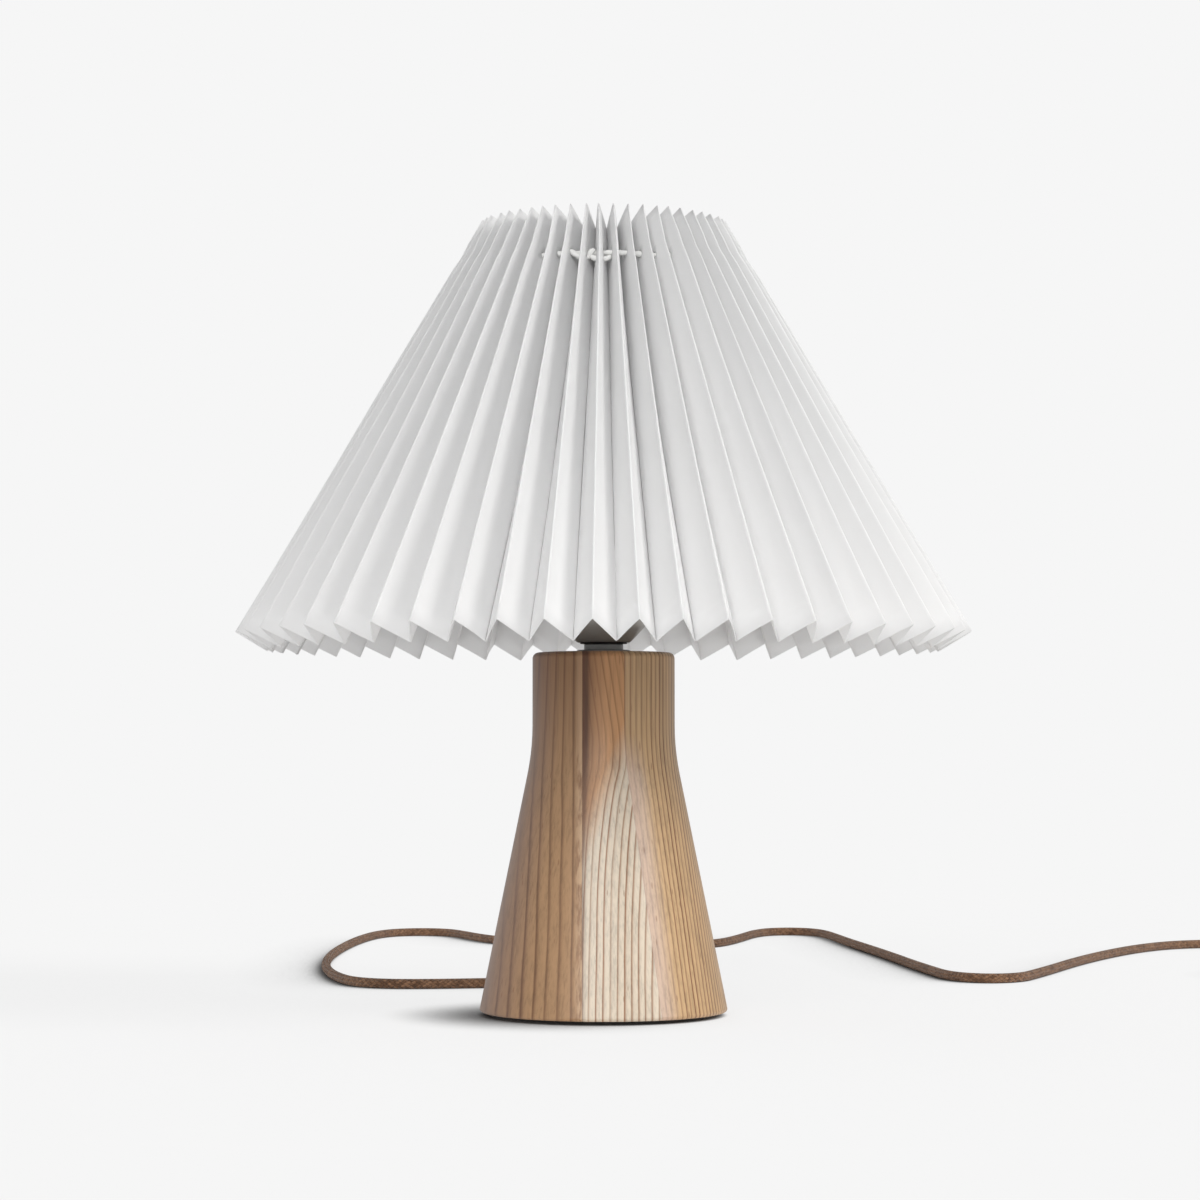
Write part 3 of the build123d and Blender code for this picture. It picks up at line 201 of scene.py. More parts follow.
# %% Coil points
coil_centre = (341.0, 206.6)
coil_outer_radius = 26.0
coil_step = 4.95  # one cord's thickness and a small gap
coil_turn_points = 12
coil_turns = 2


def coil_line():
    """The coil's control points: radius falls by a step a turn and rises again, height climbs in between.

    A control point of a smooth curve lies outside its curve, so the circle is enlarged by half of what one
    over the cosine of half the angle between points would add."""
    count = coil_turns * coil_turn_points
    turn = (np.arange(count) + 0.5) / coil_turn_points
    quarter = turn * 4
    narrowest = 2.0 * coil_turns
    radius = coil_outer_radius - (narrowest - np.abs(quarter - narrowest)) * coil_step / 4
    climbed = np.clip(quarter - (narrowest - 1), 0, 2) / 2
    outside = 1 + (1 / math.cos(math.pi / coil_turn_points) - 1) * 0.5
    angle = -2 * np.pi * turn
    x = coil_centre[0] + radius * outside * np.cos(angle)
    y = coil_centre[1] + radius * outside * np.sin(angle)
    return np.stack((x, y, 2.2 + climbed * coil_step), axis=-1)


route_points = np.concatenate([run_points, switch_points, link_points, coil_line(), tail_points]) * MM
print(len(route_points), "points on the cord's route")

# %% [markdown]
# A NURBS spline of order 3 with its ends held turns those points into a smooth line. It is made as a curve
# without thickness first, and its worked-out points are then what the woven tube follows.

# %% Cord line to tube
def smooth_line(name, points):
    """The points along a NURBS spline of order 3 that is drawn by its control points."""
    curve = bpy.data.curves.new(name, "CURVE")
    curve.dimensions = "3D"
    curve.resolution_u = 10
    spline = curve.splines.new("NURBS")
    spline.points.add(len(points) - 1)
    spline.points.foreach_set("co", np.column_stack((points, np.ones(len(points)))).reshape(-1))
    spline.order_u = 3
    spline.use_endpoint_u = True
    holder = bpy.data.objects.new(name, curve)
    scene.collection.objects.link(holder)
    mesh = bpy.data.meshes.new_from_object(holder)
    line = np.zeros(len(mesh.vertices) * 3)
    mesh.vertices.foreach_get("co", line)
    bpy.data.objects.remove(holder)
    bpy.data.curves.remove(curve)
    bpy.data.meshes.remove(mesh)
    return line.reshape(-1, 3)


cord_line = smooth_line("cord_line", route_points)
cord_length = np.linalg.norm(np.diff(cord_line, axis=0), axis=1).sum()
cord = swept("cord", cord_line, cord_radius, "stand", "cord", sides=20)
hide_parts("cord_run", "cord_link", "cord_coil", "cord_tail")
print(f"cord: {cord_length:.3f} m in {len(cord_line)} steps")

# %% [markdown]
# ## Floor, background and light
# The photograph has an even, nearly white surround and only a soft shadow at the lamp's foot. The floor is
# partly its own flat colour for the camera, so that shadows stay faint, and fades out with distance. A painted
# contact shadow darkens the flat colour only where something stands close by on the right. A soft sun from the
# right lights the right-hand side of every pleat, and a softer one from the front fills the rest.

# %% Node helpers
def node_material(name):
    """A new material with its tree, its Principled surface and a maker of nodes."""
    material = bpy.data.materials.new(name)
    material.use_nodes = True
    tree = material.node_tree
    surface = tree.nodes["Principled BSDF"]
    return material, tree, surface


def feed(tree, socket, value):
    """Gives a socket a value, or a link from another node's result."""
    if isinstance(value, bpy.types.NodeSocket):
        tree.links.new(value, socket)
    else:
        socket.default_value = value


def add(tree, kind, operation=None, **inputs):
    """A node of a kind, with values or links given to its inputs by name or, after an i, by number."""
    made = tree.nodes.new(kind)
    if operation:
        made.operation = operation
    for key, value in inputs.items():
        numbered = key[0] == "i" and key[1:].isdigit()
        feed(tree, made.inputs[int(key[1:]) if numbered else key], value)
    return made


def arithmetic(tree):
    """A function that adds arithmetic steps to one tree, given an operation and its values."""
    def step(operation, *values, clamp=False):
        made = tree.nodes.new("ShaderNodeMath")
        made.operation = operation
        made.use_clamp = clamp
        for socket, value in zip(made.inputs, values):
            feed(tree, socket, value)
        return made.outputs[0]
    return step


def map_range(tree, value, low, high, at_low, at_high):
    """A number carried evenly from one range to another, and held at its ends."""
    return add(tree, "ShaderNodeMapRange", Value=value, i1=low, i2=high, i3=at_low, i4=at_high).outputs[0]


def blend_colours(tree, share, first, second, way="MIX"):
    """Two colours mixed by a share, each a colour or another node's result."""
    made = tree.nodes.new("ShaderNodeMix")
    made.data_type = "RGBA"
    made.blend_type = way
    for index, value in ((0, share), (6, first), (7, second)):
        feed(tree, made.inputs[index], (*value, 1.0) if isinstance(value, tuple) else value)
    return made.outputs[2]


def ramp(tree, value, stops):
    """A number read off a list of stops, each a place and a brightness or a colour."""
    made = tree.nodes.new("ShaderNodeValToRGB")
    tree.links.new(value, made.inputs[0])
    elements = made.color_ramp.elements
    while len(elements) < len(stops):
        elements.new(0.5)
    for element, (place, level) in zip(elements, stops):
        element.position = place
        element.color = (*((level,) * 3 if isinstance(level, (int, float)) else level), 1.0)
    return made.outputs[0]


# %% Floor and world
background_level = 0.9216
world_light = 0.50
# name: azimuth from the front towards the right, elevation, strength, spread, colour
lamps = {
    "key_light": (60, 32, 1.3, 25, (1.0, 0.99, 0.975)),
    "front_fill": (-8, 25, 1.2, 40, (1.0, 1.0, 1.0)),
}
sun_light = sum(strength * math.sin(math.radians(elevation)) for _, elevation, strength, _, _ in lamps.values())
unshaded = world_light + sun_light / math.pi
floor_half = 3.0
flat_part = 0.82  # how much of the floor the camera sees as its own flat colour
painted_shadow_reach = 0.042
fade_from, fade_to = 0.42, 1.05
floor_mesh = bpy.data.meshes.new("floor")
floor_mesh.from_pydata([(-floor_half, -floor_half, 0), (floor_half, -floor_half, 0),
                        (floor_half, floor_half, 0), (-floor_half, floor_half, 0)], [], [(0, 1, 2, 3)])
floor = bpy.data.objects.new("floor", floor_mesh)
scene.collection.objects.link(floor)
floor_material = bpy.data.materials.new("pale_floor")
floor_material.use_nodes = True
tree = floor_material.node_tree
tree.nodes.clear()
ground = add(tree, "ShaderNodeBsdfDiffuse", Color=(background_level / unshaded,) * 3 + (1.0,))
# painted contact shadow: what stands just to the right of a point and a little above it darkens the flat colour
# there
from_right = add(tree, "ShaderNodeCombineXYZ", i0=0.80, i1=0.10, i2=0.60).outputs[0]
near = add(tree, "ShaderNodeAmbientOcclusion", Distance=painted_shadow_reach, Normal=from_right)
near.samples = 12
contact = ramp(tree, near.outputs["AO"], [(0.38, 0.0), (0.6, 0.25), (0.8, 0.75), (0.94, 1.0)])
flat_colour = blend_colours(tree, 1.0, (background_level,) * 3, contact, "MULTIPLY")
flat = add(tree, "ShaderNodeEmission", Color=flat_colour, Strength=1.0)
clear = add(tree, "ShaderNodeBsdfTransparent")
seen = add(tree, "ShaderNodeLightPath").outputs["Is Camera Ray"]
flat_share = arithmetic(tree)("MULTIPLY", seen, flat_part)
surface_mix = add(tree, "ShaderNodeMixShader", i0=flat_share, i1=ground.outputs[0], i2=flat.outputs[0])
place = add(tree, "ShaderNodeTexCoord").outputs["Object"]
distance = add(tree, "ShaderNodeVectorMath", "LENGTH", i0=place).outputs["Value"]
fade = map_range(tree, distance, fade_from, fade_to, 0.0, 1.0)
floor_mix = add(tree, "ShaderNodeMixShader", i0=fade, i1=surface_mix.outputs[0], i2=clear.outputs[0])
add(tree, "ShaderNodeOutputMaterial", Surface=floor_mix.outputs[0])
floor_mesh.materials.append(floor_material)

world = bpy.data.worlds.new("studio")
scene.world = world
world.use_nodes = True
tree = world.node_tree
tree.nodes.clear()
seen = add(tree, "ShaderNodeLightPath")
shown = arithmetic(tree)("MAXIMUM", seen.outputs["Is Camera Ray"], seen.outputs["Is Transmission Ray"])
shown_back = add(tree, "ShaderNodeBackground", Color=(background_level,) * 3 + (1.0,), Strength=1.0)
lit_back = add(tree, "ShaderNodeBackground", Color=(1.0, 1.0, 1.0, 1.0), Strength=world_light)
world_mix = add(tree, "ShaderNodeMixShader", i0=shown, i1=lit_back.outputs[0], i2=shown_back.outputs[0])
add(tree, "ShaderNodeOutputWorld", Surface=world_mix.outputs[0])
scene.view_settings.view_transform = "Standard"

# %% Lamps
for name, (azimuth, elevation, strength, spread, tint) in lamps.items():
    data = bpy.data.lights.new(name, "SUN")
    data.energy = strength
    data.angle = math.radians(spread)
    data.color = tint
    holder = bpy.data.objects.new(name, data)
    scene.collection.objects.link(holder)
    holder.rotation_euler = (math.radians(90 - elevation), 0.0, math.radians(azimuth))
print(f"an open floor point gets {unshaded:.2f} of light")

# %% [markdown]
# ## The folded shade
# The shade is one long strip of stiff white paper, folded back and forth and joined into a cone. Outer
# folds and inner folds take turns. Each flat panel between two folds keeps its width from hem to top, so
# the folds must grow deeper where the cone narrows. The strip's edges are cut square to the folds, which
# makes the spiky rim. Folding by hand leaves the spacing uneven, and at the front the folds crowd together
# a little, as they do in the photograph.

# %% Folds
hem_radius, hem_height = 149.55, 155.0
top_radius, top_height = 50.55, 323.0
fold_count = 52
panel_width = 17.4
paper_thickness = 0.4
slant = math.atan2(hem_radius - top_radius, top_height - hem_height)
rng = np.random.default_rng(7)
first_fold = -1.4  # degrees from the front
outer_scatter, inner_scatter = 0.22, 0.3  # degrees
crowd_places = [-180, -75, -57, -36, -22, -8, -1.4, 5.5, 12.4, 26, 47, 61, 75, 100, 180]
crowd_turns = [0, 0.3, 0.7, 1.0, 0.6, 0.0, -0.2, -0.7, -1.4, -1.8, -2.2, -2.6, -1.4, -0.3, 0]


def fold_angles():
    """Each outer fold's angle from the front, each inner fold's between its two neighbours, and half gaps.

    Even spacing, plus the crowding read off a short list, plus a small random unevenness."""
    even = (first_fold + 360 / fold_count * np.arange(fold_count) + 180) % 360 - 180
    scatter = rng.uniform(-outer_scatter, outer_scatter, fold_count)
    outer = np.sort(even + np.interp(even, crowd_places, crowd_turns) + scatter)
    after = np.roll(outer, -1)
    after[-1] += 360
    inner = (outer + after) / 2 + rng.uniform(-inner_scatter, inner_scatter, fold_count)
    return np.radians(outer), np.radians(inner), np.radians(after - outer) / 2


outer_angle, inner_angle, half_gap = fold_angles()


def fold_depth(radius, half):
    """How deep a fold is, square to the slant: Pythagoras on the panel's width and half the gap's chord."""
    chord = radius * half
    for _ in range(6):
        depth = np.sqrt(panel_width**2 - chord**2)
        chord = (radius - depth * math.cos(slant) / 2) * half
    return depth


# the lace's hole: where a circle inside the folds meets a panel, as shares of slant and of panel
lace_radius_out, lace_height = 52.9, 302.6
hole_up = 0.905
hole_across = 0.5
hole_size = 1.35
hem_depth, top_depth = (fold_depth(radius, half_gap).mean() for radius in (hem_radius, top_radius))
print(f"slant {math.degrees(slant):.1f} degrees, folds {hem_depth:.1f} mm deep at the hem,"
      f" {top_depth:.1f} mm at the top")

# %% [markdown]
# The sheet's grid runs up the slant in rows and round the lamp in columns. Rows and columns are drawn
# closer together at the folds and round the lace's holes, so that the folds stay crisp and each hole is a
# small octagon of missing cells.

# %% Sheet grid
slant_length = math.hypot(hem_radius - top_radius, top_height - hem_height)
up_step, across_step = hole_size / slant_length, hole_size / panel_width
rows = np.concatenate((np.linspace(0, 0.875, 21), [0.889], hole_up + up_step * np.array([-1, 0, 1]),
                       [0.921, 0.94, 0.96, 0.98, 1.0]))
across = np.array([0.0, 0.022, 0.065, 0.17, 0.31, hole_across - across_step, hole_across,
                   hole_across + across_step, 0.79, 0.93, 0.98])
share = np.concatenate((across, [1.0], across[:0:-1]))  # one pleat: out to in, and in to out again
hole_row = int(np.argmin(np.abs(rows - hole_up)))
hole_column = int(np.argmin(np.abs(across - hole_across)))
hole_columns = [hole_column, 2 * len(across) - hole_column]
print(f"sheet grid: {len(rows)} rows, {len(share)} columns for each of {fold_count} pleats")

# %% [markdown]
# Paper folded by hand is never quite even. Each outer fold sways a little, its tip leans at the very top,
# the lace pinches it in, and each panel bows.

# %% Pleated sheet
corner_share = 0.72  # how far a hole's four corners are drawn in, which makes it an octagon
fold_softness = 0.018
fold_sway, panel_bow = 0.35, 0.35  # mm
tip_lean = 1.1  # degrees
pinch_depth, pinch_reach = 0.5, 0.02  # mm, and a share of the slant


def sheet_shares():
    """Each point's share s up the slant and t across its panel, with the holes' corners drawn in."""
    s = np.broadcast_to(rows[:, None, None], (len(rows), fold_count, len(share))).copy()
    t = np.broadcast_to(share[None, None, :], s.shape).copy()
    for column in hole_columns:
        for row_side in (-1, 1):
            for column_side in (-1, 1):
                corner = (hole_row + row_side, slice(None), column + column_side)
                s[corner] = hole_up + (s[corner] - hole_up) * corner_share
                t[corner] = hole_across + (t[corner] - hole_across) * corner_share
    return s, t


def pleated_points(s, t):
    """The paper's middle surface.

    Up the slant by s from 0 to 1, an outer fold stands at a radius and height that change evenly. Across a
    panel by t from 0 to 1, a point moves inwards by t times the fold's depth along the square cut. At both
    folds t is softened to the root of t squared plus a small number squared, which rounds the fold."""
    first = (np.arange(len(share)) <= len(across))[None, :]
    start = np.where(first, outer_angle[:, None], np.roll(outer_angle, -1)[:, None])
    start = start + np.where(~first & (np.arange(fold_count)[:, None] == fold_count - 1), 2 * np.pi, 0)
    sway = rng.uniform(-1, 1, (4, fold_count))
    near = np.where(first, sway[:, :, None], np.roll(sway, -1, axis=1)[:, :, None])
    wave = (near[0] * np.sin(2 * np.pi * (s * 1.3 + near[1])) * fold_sway + near[2] * fold_sway)
    tip = np.clip((s - hole_up) / (1 - hole_up), 0, 1) ** 1.5
    pinch = np.exp(-((s - hole_up) / pinch_reach) ** 2) * pinch_depth
    angle_slip = near[3] * tip * np.radians(tip_lean)
    radius = hem_radius + (top_radius - hem_radius) * s + wave - pinch
    height = hem_height + (top_height - hem_height) * s
    depth = fold_depth(hem_radius + (top_radius - hem_radius) * s, half_gap[None, :, None])
    eased = np.where(t < 0.5, np.sqrt(t**2 + fold_softness**2), 1 - np.sqrt((1 - t) ** 2 + fold_softness**2))
    bow = rng.uniform(-panel_bow, panel_bow, (fold_count, 2))
    bow_here = np.where(first, bow[:, :1], bow[:, 1:])
    angle = start + angle_slip * (1 - t) + (inner_angle[:, None] - start) * t
    radial = radius - eased * depth * math.cos(slant)
    angle = angle + bow_here * np.sin(np.pi * t) / radial
    points = np.stack((radial * np.sin(angle), -radial * np.cos(angle),
                       height - eased * depth * math.sin(slant)), axis=-1) * MM
    return points.reshape(-1, 3)


def sheet_cells():
    """The grid's cells without the four round each lace hole."""
    columns = fold_count * len(share)
    faces = grid_faces(len(rows), columns)
    cell_row = np.repeat(np.arange(len(rows) - 1), columns)
    cell_column = np.tile(np.arange(columns), len(rows) - 1) % len(share)
    at_row = (cell_row == hole_row) | (cell_row == hole_row - 1)
    at_column = np.isin(cell_column, [column - side for column in hole_columns for side in (0, 1)])
    return faces[~(at_row & at_column)]


# %% Shade
sheet_points, sheet_faces = pleated_points(*sheet_shares()), sheet_cells()
shade = mesh_object("shade_paper", sheet_points, sheet_faces, "shade")
thickness = shade.modifiers.new("paper thickness", "SOLIDIFY")
thickness.thickness = paper_thickness * MM
thickness.offset = 0.0
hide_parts("pleated_shade")
print(f"shade paper: {len(sheet_faces)} cells, box {sheet_points.min(0)} to {sheet_points.max(0)}")

# %% [markdown]
# A waxed thread runs through one hole in every panel and draws the top together. It is two plies twisted,
# knotted just left of the front, with a short tail to each side.

# %% Lace
lace_thickness = 1.05
lace_plies = {"ply": 2, "twist": 240.0, "depth": 0.13 * MM}
round_angle = np.linspace(0, 2 * np.pi, 720, endpoint=True)
lace_path = np.stack((lace_radius_out * np.sin(round_angle), -lace_radius_out * np.cos(round_angle),
                      lace_height + 0.2 * np.sin(13 * round_angle)), axis=-1) * MM
lace = swept("lace", lace_path, lace_thickness * MM, "shade", "lace", sides=12, **lace_plies)
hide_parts("lacing_cord")


def lace_piece(name, angles, radii, heights):
    """A short stretch of thread through a few places given as angle, radius and height."""
    angles = np.radians(angles)
    places = np.stack((np.asarray(radii) * np.sin(angles), -np.asarray(radii) * np.cos(angles),
                       np.asarray(heights)), axis=-1) * MM
    line = smooth_line(name, places)
    taper = np.full(len(line), lace_thickness * MM)
    taper[0] = taper[-1] = 0.3 * MM
    return swept(name, line, taper, "shade", "lace", sides=10, up=(0.1, 0.2, 1.0), **lace_plies)


knot = lace_piece("lace_knot", [-6.6, -6.2, -5.0, -4.3, -4.9, -6.2, -6.6, -5.8, -4.7],
                  [53.0, 54.2, 54.5, 53.6, 52.0, 51.8, 52.8, 54.2, 53.2],
                  [301.7, 301.8, 303.0, 303.7, 303.8, 303.0, 301.8, 301.5, 302.0])
tail_left = lace_piece("lace_tail_left", [-14.0, -11.6, -8.8, -5.6], [54.3, 55.0, 55.2, 54.2],
                       [303.6, 301.9, 300.2, 300.9])
tail_right = lace_piece("lace_tail_right", [-5.4, -2.6, 0.2, 3.2], [54.2, 55.2, 55.1, 54.5],
                        [301.0, 299.8, 299.7, 301.0])
print("lace:", len(lace.data.polygons), "faces")

# %% [markdown]
# ## The rolled threads
# The bulb's cap and the holder's shell are thin sheet with the same round thread rolled into both. Its pitch
# is what the bulb climbs in one turn, so the two stay nested while the bulb screws out.

# %% Rolled sleeves
rise_per_radian = 0.577573  # mm, as in the joint's coupling
bulb_pitch = 2 * math.pi * rise_per_radian
rolled_depth = 0.35
rolled_top = 195.8  # the housing's plug fills the cap above this


def rolled(name, outer, wall, low, high, floor_thickness, floor_hole, thread_low, nose, body):
    """A thin sleeve with a rolled thread; its profile goes up outside, down inside and round a floor.

    A nose narrows the lowest turn by the thread's depth, so that it passes the other sleeve's crests."""
    up = np.linspace(low, high, 90)
    narrowed = outer - nose * rolled_depth * (1 - np.clip((up - low) / bulb_pitch, 0, 1))
    outside = np.column_stack((narrowed, up))
    inside = np.column_stack((narrowed - wall, np.maximum(up, low + floor_thickness)))[::-1]
    profile = np.concatenate((outside, inside, [(floor_hole, low + floor_thickness), (floor_hole, low)],
                              outside[:1])) * MM
    return turned(name, profile, body, thread=(bulb_pitch * MM, rolled_depth * MM, thread_low * MM,
                                                     rolled_top * MM))


cap_sleeve = rolled("bulb_cap_rolled", 13.28, 0.35, 183.0, 203.5, 0.0, 12.5, 183.0, 1, "bulb")
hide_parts("bulb_cap")
shell_sleeve = rolled("screw_shell_rolled", 13.75, 0.4, 176.0, 201.0, 0.4, 6.0, 178.0, 0, "stand")
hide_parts("screw_shell")
print("rolled sleeves:", len(cap_sleeve.data.polygons), len(shell_sleeve.data.polygons), "faces")

# %% [markdown]
# ## The paper's finish
# Lamp paper is matt and faintly fibrous, and lets a little light through. Fine noise gives the fibres,
# broad noise a slight unevenness of tone, and a little scattering below the surface softens the shadows in
# the folds. Several finishes need such fine unevenness, so it is a node group of its own.

# %% Fine unevenness group
def group(name, inputs, outputs):
    """A shader node group, the values given to it and the sockets of its results.

    Each input has a default: a number makes it a number, and a triple or nothing makes it a vector."""
    tree = bpy.data.node_groups.new(name, "ShaderNodeTree")
    for label, default in inputs.items():
        kind = "NodeSocketFloat" if isinstance(default, float) else "NodeSocketVector"
        socket = tree.interface.new_socket(label, in_out="INPUT", socket_type=kind)
        if default is not None:
            socket.default_value = default
    for label in outputs:
        tree.interface.new_socket(label, in_out="OUTPUT", socket_type="NodeSocketFloat")
    return tree, tree.nodes.new("NodeGroupInput").outputs, tree.nodes.new("NodeGroupOutput").inputs


fine_group, given, gives = group(
    "fine_unevenness", {"Vector": None, "Fine Scale": 900.0, "Broad Scale": 30.0, "Stretch": (1, 1, 1)},
    ["Fine", "Broad", "Tone"])
stretched = add(fine_group, "ShaderNodeVectorMath", "MULTIPLY", i0=given["Vector"],
                i1=given["Stretch"]).outputs[0]
fine = add(fine_group, "ShaderNodeTexNoise", Vector=stretched, Scale=given["Fine Scale"],
           Detail=3.0, Roughness=0.6).outputs[0]
broad = add(fine_group, "ShaderNodeTexNoise", Vector=given["Vector"],
            Scale=given["Broad Scale"], Detail=2.0).outputs[0]
calc = arithmetic(fine_group)
tone = calc("ADD", calc("MULTIPLY", fine, 0.35), calc("MULTIPLY", broad, 0.65))
for label, result in (("Fine", fine), ("Broad", broad), ("Tone", tone)):
    fine_group.links.new(result, gives[label])


def use_group(tree, node_tree, **values):
    """A node that holds a group, with values or links for its named inputs."""
    made = tree.nodes.new("ShaderNodeGroup")
    made.node_tree = node_tree
    for label, value in values.items():
        feed(tree, made.inputs[label.replace("_", " ")], value)
    return made


def bump(tree, surface, height, strength, distance):
    """Fine relief on a surface from a height pattern."""
    relief = add(tree, "ShaderNodeBump", Strength=strength, Distance=distance, Height=height)
    tree.links.new(relief.outputs[0], surface.inputs["Normal"])


# %% [markdown]
# The threads cut on the tube and on the holder's skirt are too fine to model. A second group gives their
# height: the distance climbed in pitches, less the share of a turn, folded to and fro. It is only there
# outside a given distance from the lamp's axis, so bores stay smooth.

# %% Cut thread group
thread_group, given, gives = group(
    "cut_thread", {"Vector": None, "Pitch": 0.001, "Inside": 0.0},
    ["Height"])
calc = arithmetic(thread_group)
parts = add(thread_group, "ShaderNodeSeparateXYZ", Vector=given["Vector"])
turn = calc("DIVIDE", calc("ARCTAN2", parts.outputs[1], parts.outputs[0]), 2 * math.pi)
climb = calc("DIVIDE", parts.outputs[2], given["Pitch"])
tooth = calc("PINGPONG", calc("SUBTRACT", climb, turn), 0.5)
level = add(thread_group, "ShaderNodeVectorMath", "MULTIPLY", i0=given["Vector"], i1=(1.0, 1.0, 0.0))
off_axis = add(thread_group, "ShaderNodeVectorMath", "LENGTH", i0=level.outputs[0]).outputs["Value"]
outside = calc("GREATER_THAN", off_axis, given["Inside"])
thread_group.links.new(calc("MULTIPLY", tooth, outside), gives["Height"])
print("groups:", [made.name for made in bpy.data.node_groups])


# %% Finish
def finish(name, colour, roughness, metallic=0.0, uneven=0.12, fine_scale=900.0, broad_scale=30.0,
           stretch=(1, 1, 1), relief=0.02, darken=0.12, thread=None, **plain):
    """A finish with fine and broad unevenness in its tone, its roughness and its relief.

    A thread of a pitch and depth is cut where the distance from the lamp's axis is over a third number."""
    material, tree, surface = node_material(name)
    calc = arithmetic(tree)
    place = add(tree, "ShaderNodeTexCoord").outputs["Object"]
    detail = use_group(tree, fine_group, Vector=place, Fine_Scale=fine_scale, Broad_Scale=broad_scale,
                       Stretch=stretch)
    dark = tuple(max(0.0, level * (1 - darken)) for level in colour)
    light = tuple(min(1.0, level * (1 + darken * 0.6)) for level in colour)
    tree.links.new(blend_colours(tree, detail.outputs["Tone"], dark, light), surface.inputs["Base Color"])
    rough = calc("ADD", calc("MULTIPLY", detail.outputs["Broad"], 2 * uneven), roughness - uneven, clamp=True)
    tree.links.new(rough, surface.inputs["Roughness"])
    surface.inputs["Metallic"].default_value = metallic
    for label, value in plain.items():
        surface.inputs[label.replace("_", " ")].default_value = value
    relief_height, strength = detail.outputs["Fine"], 0.35
    if thread:
        pitch_length, thread_depth, inside = thread
        cut = use_group(tree, thread_group, Vector=place, Pitch=pitch_length * MM, Inside=inside * MM)
        share = relief / thread_depth
        relief_height = calc("ADD", calc("MULTIPLY", cut.outputs["Height"], 2.0),
                             calc("MULTIPLY", detail.outputs["Fine"], share))
        strength, relief = 1.0, thread_depth
    bump(tree, surface, relief_height, strength, relief * MM)
    return material


# %% Paper
paper = finish("folded_paper", (0.835, 0.835, 0.835), 0.86, uneven=0.05, fine_scale=1400.0,
               broad_scale=22.0, relief=0.05, darken=0.03, Subsurface_Weight=0.6,
               Subsurface_Radius=(1.0, 1.0, 1.0), Subsurface_Scale=0.0025, Specular_IOR_Level=0.25)
shade.data.materials.append(paper)
thread = finish("waxed_thread", (0.86, 0.86, 0.84), 0.6, fine_scale=2600.0, relief=0.06, darken=0.1)
for piece in (lace, knot, tail_left, tail_right):
    piece.data.materials.append(thread)

# %% [markdown]
# ## The wooden stand
# The stand is turned from a block glued up from three boards of pale ash, and the photograph shows all
# three. At the left the growth lines run straight down and spread a little. In the middle they curve in
# under the shoulder and come down in arches, pale and silky. At the right of a slanting joint they are
# finer and redder. The turned shape is the CAD's own, so only the finish is made here. Each board reads a
# distance across its growth from Object coordinates, and a shared group turns that distance into lines.

# %% Growth line group
def chance_of(tree, number):
    """A random number from 0 to 1 that stays the same wherever the given number is the same."""
    made = tree.nodes.new("ShaderNodeTexWhiteNoise")
    made.noise_dimensions = "1D"
    tree.links.new(number, made.inputs["W"])
    return made.outputs["Value"]


growth_group, given, gives = group(
    "growth_lines", {"Vector": None, "Across": 0.0, "Spacing": 0.003, "Wander": 0.0006, "Sharpness": 1.0},
    ["Line"])
calc = arithmetic(growth_group)
slow = add(growth_group, "ShaderNodeVectorMath", "MULTIPLY", i0=given["Vector"],
           i1=(60.0, 60.0, 7.0)).outputs[0]
drift = add(growth_group, "ShaderNodeTexNoise", Vector=slow, Scale=1.0, Detail=2.0).outputs[0]
drift = calc("MULTIPLY", calc("SUBTRACT", drift, 0.5), given["Wander"])
years = calc("DIVIDE", calc("ADD", given["Across"], drift), given["Spacing"])
year = calc("FLOOR", years)
season = calc("SUBTRACT", years, year)
line = ramp(growth_group, season, [(0.0, 0.9), (0.05, 1.0), (0.13, 0.7), (0.32, 0.16), (0.75, 0.0),
                                   (0.9, 0.1), (0.96, 0.6), (1.0, 0.9)])
line = calc("POWER", line, given["Sharpness"])
strength = calc("ADD", calc("MULTIPLY", chance_of(growth_group, year), 0.6), 0.55)
growth_group.links.new(calc("MULTIPLY", line, strength), gives["Line"])
print("growth line group:", len(growth_group.nodes), "nodes")

# %% [markdown]
# Across the left board the distance is x from the first joint, and it shrinks towards the foot, so the
# lines fan out. In the middle board x is joined by a term that grows quickly just under the shoulder as
# the cone widens, which bends the lines into half arches, and by a small lean up the neck. In the right
# board the distance is taken square to the slanting joint's plane.

# %% Distances across the boards
first_joint = -8.5 * MM
joint_normal = (0.755, 0.655)  # the second joint stands upright, square to this direction in plan
joint_offset = -12.0 * MM
stand_top = 0.147
neck_radius = 29.0 * MM
fan_rate = 3.0  # for each metre down from the top
arch_depth, arch_reach = 9.0 * MM, 5.0 * MM
lean_from, lean_rate = 0.1, 0.15

wood, tree, surface = node_material("laminated_ash")
calc = arithmetic(tree)
place = add(tree, "ShaderNodeTexCoord").outputs["Object"]
axes = add(tree, "ShaderNodeSeparateXYZ", Vector=place)
x, y, z = axes.outputs[0], axes.outputs[1], axes.outputs[2]

off_joint = calc("SUBTRACT", x, first_joint)
fan = calc("ADD", calc("MULTIPLY", calc("SUBTRACT", stand_top, z), fan_rate), 1.0)
left_across = calc("DIVIDE", off_joint, fan)
flat_place = add(tree, "ShaderNodeVectorMath", "MULTIPLY", i0=place, i1=(1.0, 1.0, 0.0)).outputs[0]
reach = add(tree, "ShaderNodeVectorMath", "LENGTH", i0=flat_place).outputs["Value"]
past_neck = calc("MAXIMUM", calc("SUBTRACT", reach, neck_radius), 0.0)
bend = calc("EXPONENT", calc("DIVIDE", past_neck, -arch_reach))
bend = calc("MULTIPLY", calc("SUBTRACT", 1.0, bend), arch_depth)
neck_lean = calc("MULTIPLY", calc("MAXIMUM", calc("SUBTRACT", z, lean_from), 0.0), lean_rate)
middle_across = calc("ADD", calc("ADD", x, bend), neck_lean)
